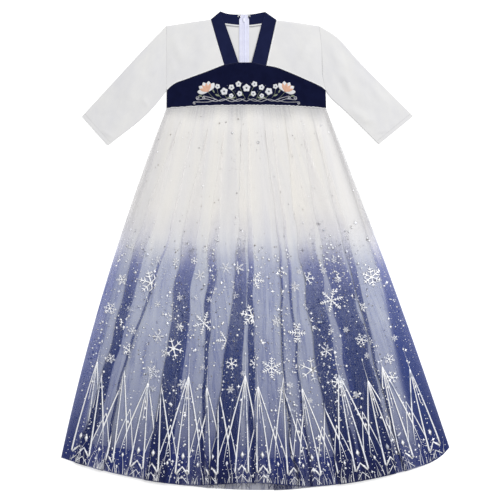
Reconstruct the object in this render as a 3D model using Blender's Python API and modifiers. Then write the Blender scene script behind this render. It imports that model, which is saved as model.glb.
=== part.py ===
"""A child's one-piece hanfu dress, laid flat on its back, in metres.

+Z is up and the floor is z = 0. +Y runs from the hem to the neck, and +X is the right-hand side
of someone who looks down on the dress. Left and right in the names are the wearer's own, so the
wearer's right side lies at -X. Every piece of cloth is a wall round a middle surface: its plan
comes from its seam lines, and its height from the layers that it lies on.
"""

import math

import bpy
import numpy as np

MM = 0.001

# Walls and seams, in millimetres
PLAIN_WALL = 1.2
BAND_WALL = 1.4
SHEER_WALL = 1.0
TAPE_WALL = 1.0
SEAM_GAP = 0.3

# Heights of the middle surfaces of the bodice, from the floor up
BACK_LEVEL = PLAIN_WALL / 2
EDGE_RADIUS = 0.9
FRONT_LEVEL = BACK_LEVEL + 2 * EDGE_RADIUS
YOKE_TOP_LEVEL = 2.6
YOKE_WAIST_LEVEL = 4.0
OVER_ZIP_LEVEL = 4.3
BAND_ABOVE_BACK = 0.1
FRONT_SWELL = 1.1
SLEEVE_SWELL = 1.6
EDGE_TURNS = np.radians((-60.0, 0.0, 60.0))
SHOULDER_TURNS = np.radians((90.0, 45.0, 0.0, -45.0, -90.0))

# Layers of the skirt where they are pressed together, from the floor up
SHEER_BACK_LEVEL = SHEER_WALL / 2
LINING_BACK_LEVEL = 1.8
LINING_FRONT_LEVEL = 3.1
SHEER_FRONT_LEVEL = 4.8
PLEATS_BELOW_LIFT = 4.9
SKIRT_SWELL = 2.2

# The skirt's plan, with left and right here as seen from above
WAIST_LEFT, WAIST_RIGHT = -195.0, 156.0
HEM_LEFT, HEM_RIGHT = -426.0, 426.0
LEFT_BOW, RIGHT_BOW = 0.30, 0.09
WAIST_SIDE_Y, WAIST_CROWN = 312.5, 7.0
HEM_LOW_Y, HEM_LOW_U = -525.5, 0.52
HEM_LEFT_RISE, HEM_RIGHT_RISE, HEM_CORNER_RISE = 72.0, 72.0, 22.0
FRONT_HEM_SHORTER = 18.0
LINING_HEM_Y, LINING_LEFT_RISE, LINING_RIGHT_RISE = -452.0, 44.0, 24.0
LINING_LEFT_INSET, LINING_RIGHT_INSET = 0.045, 0.06

# A pleat is an S in the cloth: two turns of this radius with a middle layer between them.
# Rows and stations are shares of the way down from waist to hem.
TURN_RADIUS = 0.9
SHORTEST_MIDDLE = 0.7
ROWS = (0.0, 0.04, 0.08, 0.12, 0.2, 0.32, 0.45, 0.6, 0.75, 0.88, 1.0)
STATIONS = (0.0, 0.35, 0.7, 1.0)
PLEAT_WIDTH_AT_WAIST = 2.6
PLEAT_FORMED_AT = 0.12
PLEAT_WIDENS = (0.06, 0.32)
PLEAT_MARGIN = 3.0
MOST_OF_ROOM = 0.9
PANEL_SAG, SAG_SPAN = 0.85, (12.0, 60.0)
GATHER_HEIGHT, GATHERS_END_AT = 0.3, 0.14

# Pleats of the outer front, from the wearer's right to left. A side of 1 shows its edge at +X,
# and -1 at -X. Places are shares of the skirt's width and widths are in millimetres, at the
# stations: waist, knee, shin and hem.
FRONT_PLEATS = (
    # side, place at waist, knee, shin, hem, width at knee, shin, hem
    (-1, 0.115, 0.092, 0.078, 0.050, 26, 19, 26),
    (1, 0.200, 0.187, 0.122, 0.112, 5, 5, 6),
    (-1, 0.285, 0.272, 0.267, 0.245, 32, 42, 50),
    (1, 0.375, 0.368, 0.365, 0.365, 21, 7, 9),
    (-1, 0.470, 0.480, 0.446, 0.415, 17, 43, 60),
    (1, 0.512, 0.511, 0.502, 0.494, 10, 15, 8),
    (-1, 0.600, 0.628, 0.602, 0.612, 4, 4, 5),
    (1, 0.645, 0.655, 0.645, 0.645, 7, 4, 5),
    (-1, 0.725, 0.736, 0.733, 0.745, 39, 43, 48),
    (1, 0.810, 0.827, 0.828, 0.820, 42, 58, 76),
    (-1, 0.890, 0.889, 0.880, 0.885, 16, 5, 6),
)

# Pleats of the outer back, which lies face down, with the same columns
BACK_PLEATS = (
    (1, 0.160, 0.150, 0.145, 0.140, 22, 30, 36),
    (-1, 0.290, 0.280, 0.290, 0.285, 26, 30, 40),
    (1, 0.420, 0.410, 0.400, 0.405, 24, 34, 38),
    (-1, 0.560, 0.570, 0.580, 0.575, 22, 30, 40),
    (1, 0.700, 0.710, 0.705, 0.715, 28, 36, 44),
    (-1, 0.840, 0.845, 0.850, 0.850, 24, 28, 34),
)

# Zip and neck fastening
ZIP_X = -24.5
NECK_BACK_Y, BAND_LOW_Y, ZIP_END_Y = 518.6, 495.6, 328.0
TAPE_INNER, TAPE_OUTER = 1.3, 10.7
TAPE_ABOVE_BACK = 0.5
ZIP_BELOW_NECK = 0.8
COIL_RADIUS, COIL_LEVEL = 0.8, 2.5
SLIDER_SIZE, SLIDER_Y, SLIDER_LOW_Z, SLIDER_BEVEL = (5.0, 10.0, 1.2), 506.0, 3.6, 0.45
WIRE_RADIUS, WIRE_LEVEL = 0.45, 3.35
EYE_FROM_ZIP, EYE_BELOW_NECK, EYE_RADIUS = 10.8, 4.6, 2.6
HOOK_FROM_ZIP, HOOK_BELOW_NECK, HOOK_RADIUS, HOOK_SHANK = 10.6, 4.0, 2.2, 4.2

# Seam lines of the bodice as points in plan, for the wearer's right half and left half
BAND_STEPS = 8
FRONT_STRIP_STEPS = 10
NECK_UNDER_YOKE = ((-36.9, 413.3), (-7.8, 413.3), (23.9, 406.3))
SEAMS = {
    "right": {
        "fold": ((-97.4, 507.9), (-76.2, 525.5)),
        "strip_outer": ((-97.4, 507.9), (-83.0, 457.5), (-68.3, 408.2)),
        "strip_inner": ((-76.2, 525.5), (-56.0, 469.0), (-36.9, 413.6)),
        "band_low": (
            (-97.4, 507.9), (-83.0, 502.0), (-64.4, 499.3), (-42.0, 496.6), (ZIP_X, BAND_LOW_Y),
        ),
        "band_high": (
            (-76.2, 525.5), (-64.6, 521.3), (-51.8, 519.3), (-37.3, 518.7), (ZIP_X, NECK_BACK_Y),
        ),
        "shoulder": ((-97.6, 507.8), (-145.0, 501.4), (-195.0, 493.6)),
        "armhole": ((-195.0, 493.6), (-195.3, 420.0), (-194.6, 351.6)),
        "yoke_top": (
            (-194.6, 351.6), (-190.4, 356.4), (-179.9, 364.9),
            (-148.8, 377.6), (-106.8, 393.0), (-68.3, 408.2),
        ),
        "side": ((-194.6, 351.6), (-194.8, 312.5)),
        "sleeve_top": ((-195.0, 493.6), (-240.0, 447.0), (-303.0, 379.0), (-380.0, 295.4)),
        "sleeve_low": ((-195.6, 350.4), (-206.0, 336.5), (-227.0, 311.5), (-323.0, 231.3)),
    },
    "left": {
        "fold": ((46.1, 506.8), (20.8, 524.4)),
        "strip_outer": ((46.1, 506.8), (35.0, 457.0), (23.9, 406.3)),
        "strip_inner": ((20.8, 524.4), (6.5, 469.0), (-7.8, 413.6)),
        "band_low": ((46.1, 506.8), (31.0, 501.5), (13.8, 499.3), (-7.0, 496.5), (ZIP_X, BAND_LOW_Y)),
        "band_high": ((20.8, 524.4), (13.0, 522.9), (1.0, 520.6), (-12.9, 518.8), (ZIP_X, NECK_BACK_Y)),
        "shoulder": ((46.3, 506.8), (95.0, 500.6), (140.0, 493.2)),
        "armhole": ((140.0, 493.2), (145.0, 452.0), (148.0, 380.0), (154.6, 351.6)),
        "yoke_top": (
            (154.6, 351.6), (151.0, 355.6), (137.6, 363.4), (112.3, 374.9),
            (74.5, 391.2), (46.5, 402.0), (23.9, 406.3),
        ),
        "side": ((154.6, 351.6), (155.8, 312.5)),
        "sleeve_top": ((140.0, 493.2), (172.0, 474.0), (226.0, 417.0), (290.0, 352.0), (346.8, 295.8)),
        "sleeve_low": ((155.6, 350.4), (166.0, 336.0), (190.0, 314.0), (271.2, 234.0)),
    },
}

# Soft creases of the upper half
CREASES = {
    # start, end, height, half width
    "sleeve_right": (
        ((-222.0, 398.0), (-288.0, 344.0), 1.6, 16.0),
        ((-205.0, 455.0), (-240.0, 385.0), 1.0, 14.0),
    ),
    "sleeve_left": (
        ((198.0, 378.0), (214.0, 340.0), 1.6, 11.0),
        ((210.0, 302.0), (256.0, 288.0), 1.3, 10.0),
    ),
    "front_left": (
        ((132.0, 478.0), (106.0, 428.0), 1.4, 11.0),
        ((66.0, 446.0), (52.0, 420.0), 1.0, 9.0),
    ),
    "front_right": (((-178.0, 470.0), (-150.0, 420.0), 1.0, 12.0),),
}


def clear_scene():
    for obj in list(bpy.data.objects):
        bpy.data.objects.remove(obj, do_unlink=True)


def fabric(name, colour, roughness, metallic=0.0):
    material = bpy.data.materials.new(name)
    material.use_nodes = True
    shader = material.node_tree.nodes["Principled BSDF"]
    shader.inputs["Base Color"].default_value = (*colour, 1.0)
    shader.inputs["Roughness"].default_value = roughness
    shader.inputs["Metallic"].default_value = metallic
    material.diffuse_color = (*colour, 1.0)
    return material


def collection_named(name):
    collection = bpy.data.collections.new(name)
    bpy.context.scene.collection.children.link(collection)
    return collection


def ease(low, high, value):
    """0 up to low, 1 from high, with a smooth slope between."""
    share = np.clip((np.asarray(value, float) - low) / (high - low), 0.0, 1.0)
    return share * share * (3.0 - 2.0 * share)


def smooth_through(stations, values, at):
    """A smooth curve through the values at the stations, read at the given places."""
    stations, values = np.asarray(stations, float), np.asarray(values, float)
    slopes = np.gradient(values, stations)
    at = np.asarray(at, float)
    index = np.clip(np.searchsorted(stations, at, side="right") - 1, 0, len(stations) - 2)
    span = stations[index + 1] - stations[index]
    t = (at - stations[index]) / span
    return (
        (2 * t**3 - 3 * t**2 + 1) * values[index]
        + (t**3 - 2 * t**2 + t) * span * slopes[index]
        + (3 * t**2 - 2 * t**3) * values[index + 1]
        + (t**3 - t**2) * span * slopes[index + 1]
    )


def seam_curve(points, count, straight=False):
    """The seam line through its points, as count points spaced evenly along it."""
    points = np.asarray(points, float)
    along = np.concatenate(([0.0], np.cumsum(np.hypot(*np.diff(points, axis=0).T))))
    if straight or len(points) == 2:
        at = np.linspace(0.0, along[-1], count)
        return np.column_stack([np.interp(at, along, points[:, axis]) for axis in range(2)])
    fine = np.linspace(0.0, along[-1], 40 * len(points))
    dense = np.column_stack([smooth_through(along, points[:, axis], fine) for axis in range(2)])
    run = np.concatenate(([0.0], np.cumsum(np.hypot(*np.diff(dense, axis=0).T))))
    at = np.linspace(0.0, run[-1], count)
    return np.column_stack([np.interp(at, run, dense[:, axis]) for axis in range(2)])


def patch_between(low, high, start, end):
    """Plan points of a panel between four seam lines: low and high run across, start and end up."""
    across = np.linspace(0.0, 1.0, len(low))[:, None, None]
    up = np.linspace(0.0, 1.0, len(start))[None, :, None]
    low, high, start, end = low[:, None], high[:, None], start[None], end[None]
    return (
        (1 - up) * low
        + up * high
        + (1 - across) * start
        + across * end
        - (1 - across) * (1 - up) * start[:, :1]
        - across * (1 - up) * end[:, :1]
        - (1 - across) * up * start[:, -1:]
        - across * up * end[:, -1:]
    )


def drawn_in(patch, gap):
    """The panel's edges moved in by the seam gap, so that neighbours stay apart."""
    for axis in (0, 1):
        first = np.take(patch, 0, axis=axis)
        second = np.take(patch, 1, axis=axis)
        last = np.take(patch, -1, axis=axis)
        before = np.take(patch, -2, axis=axis)
        for place, edge, inner in ((0, first, second), (-1, last, before)):
            step = inner - edge
            length = np.maximum(np.hypot(step[..., 0], step[..., 1]), 1e-6)[..., None]
            moved = edge + step / length * gap
            if axis == 0:
                patch[place] = moved
            else:
                patch[:, place] = moved
    return patch


def with_height(patch, height):
    return np.dstack([patch, np.broadcast_to(height, patch.shape[:2])])


def crease_height(patch, creases):
    """Low ridges along short lines in the cloth, fading at both ends."""
    total = np.zeros(patch.shape[:2])
    for start, end, height, half_width in creases:
        start, end = np.array(start), np.array(end)
        run = end - start
        length = np.hypot(*run)
        along = ((patch[..., :2] - start) @ run) / length**2
        nearest = start + np.clip(along, 0, 1)[..., None] * run
        off = np.hypot(*np.moveaxis(patch[..., :2] - nearest, -1, 0))
        ends = ease(-0.3, 0.3, along) * (1 - ease(0.7, 1.3, along))
        total += height * np.exp(-((off / half_width) ** 2)) * ends
    return total


def cloth_wall(name, surface, wall, material, collection, closed=False):
    """The middle surface as a grid mesh, with a Solidify modifier for the cloth's thickness."""
    across, up = surface.shape[:2]
    index = np.arange(across * up).reshape(across, up)
    if closed:
        index = np.vstack([index, index[:1]])
    quads = np.stack([index[:-1, :-1], index[1:, :-1], index[1:, 1:], index[:-1, 1:]], axis=-1)
    mesh = bpy.data.meshes.new(name)
    mesh.from_pydata((surface.reshape(-1, 3) * MM).tolist(), [], quads.reshape(-1, 4).tolist())
    mesh.materials.append(material)
    mesh.shade_smooth()
    obj = bpy.data.objects.new(name, mesh)
    collection.objects.link(obj)
    solidify = obj.modifiers.new("wall", "SOLIDIFY")
    solidify.thickness = wall * MM
    solidify.offset = 0.0
    solidify.use_even_offset = True
    solidify.use_quality_normals = True
    return obj


# Upper half


def side_gap(side):
    """Half a seam gap, towards the wearer's own side of the middle line."""
    return -SEAM_GAP / 2 if side == "right" else SEAM_GAP / 2


def back_panel(side, material, collection):
    seams = SEAMS[side]
    neck = seam_curve(seams["band_low"], BAND_STEPS)[::-1]
    top = np.vstack([neck, seam_curve(seams["shoulder"], 4)[1:]])
    top[BAND_STEPS - 1, 1] -= EDGE_RADIUS
    across, up = len(top), 9
    armhole = seam_curve(seams["armhole"], up)[::-1]
    outer = np.vstack([seam_curve(seams["side"], 4)[::-1], armhole[1:]])
    outer = seam_curve(outer, up, straight=True)
    centre = seam_curve(((ZIP_X, waist_y_at(ZIP_X)), (ZIP_X, BAND_LOW_Y)), up)
    bottom_x = np.linspace(ZIP_X, seams["side"][-1][0], across)
    bottom = np.column_stack([bottom_x, waist_y_at(bottom_x)])
    bottom[-1], outer[0] = seams["side"][-1], seams["side"][-1]
    patch = drawn_in(patch_between(bottom, top, centre, outer), SEAM_GAP)
    surface = with_height(patch, BACK_LEVEL)
    return cloth_wall(f"back_{side}", surface, PLAIN_WALL, material, collection)


def front_panel(side, material, collection):
    seams = SEAMS[side]
    across, up = 11, 11
    top = seam_curve(seams["shoulder"], across)
    neck = seam_curve(seams["strip_outer"], up)[::-1]
    armhole = seam_curve(seams["armhole"], up)[::-1]
    bottom = seam_curve(seams["yoke_top"], across)[::-1]
    patch = drawn_in(patch_between(bottom, top, neck, armhole), SEAM_GAP)
    s, t = np.linspace(0, 1, across)[:, None], np.linspace(0, 1, up)[None, :]
    rounded = np.sin(np.pi * s) * np.sin(np.pi * t)
    creases = crease_height(patch, CREASES[f"front_{side}"])
    height = FRONT_LEVEL + (FRONT_SWELL + creases) * rounded**0.6
    return cloth_wall(f"front_{side}", with_height(patch, height), PLAIN_WALL, material, collection)


def folded_edge(turn, width):
    """How far in from a flat tube's edge a point of the fold lies, as a share of the width."""
    return EDGE_RADIUS * (1 - math.cos(turn)) / width


def sleeve(side, material, collection):
    """A flat tube: across the back layer, round the lower fold, back over the front layer."""
    seams = SEAMS[side]
    along, across = 12, 7
    outward = -1.0 if side == "right" else 1.0
    armhole = seam_curve(seams["armhole"], across, straight=True)
    armhole[-1] = seams["sleeve_low"][0]
    armhole = armhole + np.array([outward * 1.5 * SEAM_GAP, 0.0])
    top = seam_curve(seams["sleeve_top"], along)
    low = seam_curve(seams["sleeve_low"], along)
    top[0], low[0] = armhole[0], armhole[-1]
    cuff = seam_curve((seams["sleeve_top"][-1], seams["sleeve_low"][-1]), across)
    patch = patch_between(top, low, armhole, cuff)
    s = np.linspace(0, 1, along)
    width = np.hypot(*(top - low).T)
    middle = (BACK_LEVEL + FRONT_LEVEL) / 2
    knots = np.linspace(0, 1, across)
    places = np.concatenate([[0.02], knots[1:-1], [0.98]])
    crown = 0.7 * np.sin(np.pi * s) + 0.3 * s

    # Each entry: share of the way from the upper edge to the lower edge, height
    loop = [(place + 0 * s, BACK_LEVEL + 0 * s) for place in places]
    for turn in EDGE_TURNS:
        loop.append((1 - folded_edge(turn, width), middle + EDGE_RADIUS * math.sin(turn) + 0 * s))
    for place in places[::-1]:
        puff = SLEEVE_SWELL * math.sin(math.pi * place) * crown
        loop.append((place + 0 * s, FRONT_LEVEL + puff))
    for turn in EDGE_TURNS[::-1]:
        loop.append((folded_edge(turn, width), middle + EDGE_RADIUS * math.sin(turn) + 0 * s))

    rows = []
    for place, height in loop:
        plan = np.empty((along, 2))
        for axis in range(2):
            plan[:, axis] = [np.interp(place[i], knots, patch[i, :, axis]) for i in range(along)]
        rows.append(np.column_stack([plan, height]))
    surface = np.array(rows)
    above = surface[..., 2] - FRONT_LEVEL
    creases = crease_height(surface, CREASES[f"sleeve_{side}"])
    surface[..., 2] += np.where(above > 0.05, creases * np.minimum(1.0, above / 0.6), 0.0)
    return cloth_wall(f"sleeve_{side}", surface, PLAIN_WALL, material, collection, closed=True)


def collar(side, material, collection):
    """One band of cloth: up the front edge, folded over the shoulder, and along the back neck."""
    seams = SEAMS[side]
    outer = seam_curve(seams["strip_outer"], FRONT_STRIP_STEPS)[::-1]
    inner = seam_curve(seams["strip_inner"], FRONT_STRIP_STEPS)[::-1]
    outer[0, 1] += SEAM_GAP
    inner[0, 1] += SEAM_GAP
    low = seam_curve(seams["band_low"], BAND_STEPS)
    high = seam_curve(seams["band_high"], BAND_STEPS)
    low[-1, 0] += side_gap(side)
    high[-1, 0] += side_gap(side)
    fold_low, fold_high = np.array(seams["fold"][0]), np.array(seams["fold"][1])
    run = (fold_high - fold_low) / np.hypot(*(fold_high - fold_low))
    inward = np.array([run[1], -run[0]]) if side == "right" else np.array([-run[1], run[0]])

    # Each section runs across the band, from its outer seam to its neck edge
    sections = []
    raised = 1 - ease(0.0, 0.45, np.linspace(0, 1, FRONT_STRIP_STEPS))
    for step in range(FRONT_STRIP_STEPS - 1):
        outer_z = FRONT_LEVEL + 0.2 * raised[step]
        inner_z = FRONT_LEVEL + (OVER_ZIP_LEVEL - FRONT_LEVEL - 0.2) * raised[step]
        sections.append(((*outer[step], outer_z), (*inner[step], inner_z)))
    middle = (BACK_LEVEL + FRONT_LEVEL + BAND_ABOVE_BACK) / 2
    for turn in SHOULDER_TURNS:
        inset = inward * (EDGE_RADIUS * (1 - math.cos(turn)) + BAND_ABOVE_BACK)
        z = middle + EDGE_RADIUS * math.sin(turn)
        sections.append(((*(fold_low + inset), z), (*(fold_high + inset), z)))
    z = BACK_LEVEL + BAND_ABOVE_BACK
    for step in range(1, BAND_STEPS):
        sections.append(((*low[step], z), (*high[step], z)))
    sections = np.array(sections)
    across = np.linspace(0, 1, 4)[None, :, None]
    surface = sections[:, :1] * (1 - across) + sections[:, 1:] * across
    return cloth_wall(f"collar_{side}", surface, BAND_WALL, material, collection)


def over_zip(x):
    """1 over the zip and falling to 0 beside it."""
    return 1 - ease(15.0, 40.0, np.abs(np.asarray(x, float) - ZIP_X))


def yoke(material, collection):
    """The dark band under the bust, from side seam to side seam, over the closed zip."""
    across, up, steps = 28, 5, 20
    right, left = SEAMS["right"], SEAMS["left"]
    right_top = seam_curve(right["yoke_top"], steps)
    left_top = seam_curve(left["yoke_top"], steps)[::-1]
    top = np.vstack([right_top, np.array(NECK_UNDER_YOKE), left_top[1:]])
    top = seam_curve(top, across, straight=True)
    x = np.linspace(right["side"][-1][0], left["side"][-1][0], across)
    bottom = np.column_stack([x, waist_y_at(x)])
    start = seam_curve(right["side"], up)[::-1]
    end = seam_curve(left["side"], up)[::-1]
    start[0], end[0] = bottom[0], bottom[-1]
    patch = drawn_in(patch_between(bottom, top, start, end), SEAM_GAP)
    t = np.linspace(0, 1, up)[None, :]
    level = YOKE_WAIST_LEVEL + (YOKE_TOP_LEVEL - YOKE_WAIST_LEVEL) * ease(0.0, 0.8, t)
    height = level + np.maximum(OVER_ZIP_LEVEL - level, 0.0) * over_zip(patch[..., 0])
    return cloth_wall("yoke_front", with_height(patch, height), BAND_WALL, material, collection)


# Skirt


def waist_y(u):
    """The waist seam, a little higher in the middle."""
    return WAIST_SIDE_Y + WAIST_CROWN * (1 - np.abs(2 * np.asarray(u, float) - 1) ** 2.5)


def waist_y_at(x):
    u = np.clip((np.asarray(x, float) - WAIST_LEFT) / (WAIST_RIGHT - WAIST_LEFT), 0, 1)
    return waist_y(u)


def hem_y(u):
    """The hem, a long curve that rises to both side seams."""
    u = np.asarray(u, float)
    left = np.clip((HEM_LOW_U - u) / HEM_LOW_U, 0, 1)
    right = np.clip((u - HEM_LOW_U) / (1 - HEM_LOW_U), 0, 1)
    rise = HEM_LEFT_RISE * left**2 + HEM_RIGHT_RISE * right**1.8 + HEM_CORNER_RISE * right**20
    return HEM_LOW_Y + rise


def skirt_plan(u, v, hem=hem_y):
    """Plan point of the skirt at share u across and share v down from waist to hem."""
    u, v = np.broadcast_arrays(np.asarray(u, float), np.asarray(v, float))
    left = WAIST_LEFT + (HEM_LEFT - WAIST_LEFT) * v * (1 + LEFT_BOW * (1 - v))
    right = WAIST_RIGHT + (HEM_RIGHT - WAIST_RIGHT) * v * (1 + RIGHT_BOW * (1 - v))
    top = waist_y(u) - SEAM_GAP
    return left + (right - left) * u, top + (hem(u) - top) * v


def skirt_width(v):
    return skirt_plan(1.0, v)[0] - skirt_plan(0.0, v)[0]


def front_hem_y(u):
    """The outer front is cut a little shorter in the middle than the back."""
    middle = np.exp(-(((np.asarray(u, float) - 0.49) / 0.13) ** 2))
    return hem_y(u) + FRONT_HEM_SHORTER * middle


def lining_hem_y(u):
    u = np.asarray(u, float)
    left = np.clip((0.5 - u) / 0.5, 0, 1)
    right = np.clip((u - 0.5) / 0.5, 0, 1)
    return LINING_HEM_Y + LINING_LEFT_RISE * left**2 + LINING_RIGHT_RISE * right**2


def lining_edges(v):
    """The lining's two sides as shares of the skirt's width, inside the outer cloth."""
    return LINING_LEFT_INSET * v + 0.004, 1 - LINING_RIGHT_INSET * v - 0.004


def lift(u, v):
    """How far the layers above the back pleats are raised, falling to nothing at the sides."""
    sides = ease(0.015, 0.10, u) * (1 - ease(0.90, 0.985, u))
    return sides * ease(0.0, 0.08, v)


def swell(u, v):
    """A soft rounding of the whole skirt, with three slow waves across it."""
    waves = 0.35 * np.sin(2 * np.pi * (2.6 * np.asarray(u, float) + 0.15 * v))
    across = np.sin(np.pi * np.clip(u, 0, 1)) ** 0.7
    return SKIRT_SWELL * lift(u, v) * across * (0.8 + waves) * ease(0.0, 0.5, v)


def sheer_front_level(u, v):
    """Middle height of the outer front between its pleats."""
    u, v = np.asarray(u, float), np.asarray(v, float)
    left, right = lining_edges(v)
    on_lining = ease(0.0, left, u) * (1 - ease(right, 1.0, u))
    beside = (SHEER_FRONT_LEVEL - LINING_BACK_LEVEL) * (1 - on_lining) * ease(0.08, 0.3, v)
    return SHEER_FRONT_LEVEL - beside + PLEATS_BELOW_LIFT * lift(u, v) + swell(u, v)


def sheer_back_level(u, v):
    """Middle height of the outer back, which lies on the floor."""
    return SHEER_BACK_LEVEL + 0 * u * v


def s_fold(side, angle, length, steps):
    """Plan offsets and heights of one pleat's points about its middle, for one row.

    The heading starts level, turns by the angle, holds it for the middle layer and turns back.
    """
    turn = TURN_RADIUS * (math.pi + angle) / 2
    headings = [angle * (k + 0.5) / steps for k in range(steps)]
    headings = headings + [angle] + headings[::-1]
    runs = [turn / steps] * steps + [length] + [turn / steps] * steps
    x = np.cumsum([0.0] + [run * math.cos(heading) for heading, run in zip(headings, runs)])
    z = np.cumsum([0.0] + [run * math.sin(heading) for heading, run in zip(headings, runs)])
    x -= x[-1] / 2
    return (x, z[-1] - z) if side > 0 else (x, z)


def folds_at(v, width, pleats, turn_steps):
    """The folds of one row: side, plan points, heights and length of the middle layer."""
    angle = math.pi * float(ease(0.0, PLEAT_FORMED_AT, v))
    grown = float(ease(*PLEAT_WIDENS, v))
    left, right = lining_edges(v)
    folds = [(0, np.array([0.0]), np.array([0.0]), left * width - PLEAT_MARGIN)]
    for side, *numbers in pleats:
        place = float(smooth_through(STATIONS, numbers[:4], v)) * width
        full = np.interp(v, STATIONS[1:], numbers[4:])
        full = PLEAT_WIDTH_AT_WAIST + (full - PLEAT_WIDTH_AT_WAIST) * grown
        length = max(full - 2 * TURN_RADIUS, SHORTEST_MIDDLE)
        x, z = s_fold(side, angle, length, turn_steps)
        folds.append((side, place + x, z, length if angle > math.pi / 2 else 0.0))
    folds.append((0, np.array([width]), np.array([0.0]), (1 - right) * width - PLEAT_MARGIN))
    return folds


def between_folds(before, after, inside, ripple):
    """Points of the panel between two folds, straight where a fold's layers lie under it."""
    start, end = before[1][-1], after[1][0]
    under_start = PLEAT_MARGIN + (before[3] if before[0] <= 0 else 0.0)
    under_end = PLEAT_MARGIN + (after[3] if after[0] >= 0 else 0.0)
    fitted = min(1.0, MOST_OF_ROOM * (end - start) / (under_start + under_end))
    first, last = start + under_start * fitted, end - under_end * fitted
    shares = np.array(inside)
    sag = 1.0 - PANEL_SAG * np.sin(np.pi * shares) * ease(*SAG_SPAN, last - first)
    held = before[2][-1] + (after[2][0] - before[2][-1]) * ease(0.0, 1.0, shares)
    up_and_down = ripple * (2 * (np.arange(len(shares)) % 2) - 1)
    return first + (last - first) * shares, held * sag + up_and_down


def pleated_rows(pleats, hem, level, turn_steps, inside, gathers=0.0):
    """Rows of points across a pleated panel, from waist to hem."""
    rows = []
    for v in ROWS:
        width = skirt_width(v)
        ripple = gathers * (1 - float(ease(0.0, GATHERS_END_AT, v)))
        folds = folds_at(v, width, pleats, turn_steps)
        x_row, z_row = [], []
        for before, after in zip(folds[:-1], folds[1:]):
            x, z = between_folds(before, after, inside, ripple)
            x_row.extend((*before[1], *x))
            z_row.extend((*before[2], *z))
        x_row.append(width)
        z_row.append(0.0)
        u = np.array(x_row) / width
        plan_x, plan_y = skirt_plan(u, v, hem)
        height = level(np.clip(u, 0, 1), v) + np.array(z_row)
        rows.append(np.column_stack([plan_x, plan_y, height]))
    return np.swapaxes(np.array(rows), 0, 1)


def outer_front(material, collection):
    inside = (0.0, 0.35, 0.65, 1.0)
    surface = pleated_rows(
        FRONT_PLEATS, front_hem_y, sheer_front_level, 3, inside, gathers=GATHER_HEIGHT
    )
    return cloth_wall("skirt_front", surface, SHEER_WALL, material, collection)


def outer_back(material, collection):
    inside = (0.0, 0.5, 1.0)
    surface = pleated_rows(BACK_PLEATS, hem_y, sheer_back_level, 2, inside)
    return cloth_wall("skirt_back", surface, SHEER_WALL, material, collection)


def lining(name, level, material, collection):
    """One layer of the plain under-skirt, narrower and shorter than the outer cloth."""
    across = 15
    s = (0.5 - 0.5 * np.cos(np.linspace(0, math.pi, across)))[:, None]
    reach = (waist_y(s) - lining_hem_y(s)) / (waist_y(s) - hem_y(s))
    rows = np.array([row for row in ROWS if row < reach.min()])[None, :]
    v = np.hstack([rows + 0 * s, reach])
    left, right = lining_edges(v)
    u = left + s * (right - left)
    x, y = skirt_plan(u, v)
    z = level + PLEATS_BELOW_LIFT * lift(u, v) + swell(u, v)
    return cloth_wall(name, np.dstack([x, y, z]), SHEER_WALL, material, collection)


# Zip and neck fastening


def zip_tape(side, material, collection):
    """One woven tape of the zip, flat on the inside of the back."""
    away = -1.0 if side == "right" else 1.0
    x = ZIP_X + away * np.linspace(TAPE_INNER, TAPE_OUTER, 3)
    y = np.linspace(ZIP_END_Y, NECK_BACK_Y - ZIP_BELOW_NECK, 10)
    x, y = np.meshgrid(x, y, indexing="ij")
    level = PLAIN_WALL + TAPE_ABOVE_BACK + TAPE_WALL / 2
    surface = np.dstack([x, y, level + 0 * x])
    return cloth_wall(f"zip_tape_{side}", surface, TAPE_WALL, material, collection)


def rod(name, points, radius, material, collection):
    """A wire or coil body: a poly curve with a round bevel and filled caps."""
    curve = bpy.data.curves.new(name, "CURVE")
    curve.dimensions = "3D"
    curve.bevel_depth = radius * MM
    curve.bevel_resolution = 1
    curve.use_fill_caps = True
    spline = curve.splines.new("POLY")
    spline.points.add(len(points) - 1)
    for point, place in zip(spline.points, points):
        point.co = (*(np.array(place) * MM), 1.0)
    curve.materials.append(material)
    obj = bpy.data.objects.new(name, curve)
    collection.objects.link(obj)
    return obj


def zip_coil(material, collection):
    """The closed coil between the tapes, as one plain rod."""
    ends = [(ZIP_X, y, COIL_LEVEL) for y in (ZIP_END_Y, NECK_BACK_Y - ZIP_BELOW_NECK)]
    return rod("zip_coil", ends, COIL_RADIUS, material, collection)


def zip_slider(material, collection):
    """The slider's inner plate, parked near the top of the closed zip."""
    width, length, thick = SLIDER_SIZE
    centre = (ZIP_X * MM, SLIDER_Y * MM, (SLIDER_LOW_Z + thick / 2) * MM)
    bpy.ops.mesh.primitive_cube_add(size=1.0, location=centre)
    obj = bpy.context.object
    obj.name = obj.data.name = "zip_slider"
    obj.scale = (width * MM, length * MM, thick * MM)
    bpy.ops.object.transform_apply(location=False, rotation=False, scale=True)
    bevel = obj.modifiers.new("rounded", "BEVEL")
    bevel.width = SLIDER_BEVEL * MM
    bevel.segments = 2
    obj.data.materials.append(material)
    for holder in list(obj.users_collection):
        holder.objects.unlink(obj)
    collection.objects.link(obj)
    return obj


def wire_arc(x, y, radius, first, last, count):
    """Points along an arc of wire round (x, y), between two angles in degrees."""
    angles = np.radians(np.linspace(first, last, count))
    return [(x + radius * math.cos(a), y + radius * math.sin(a), WIRE_LEVEL) for a in angles]


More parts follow.
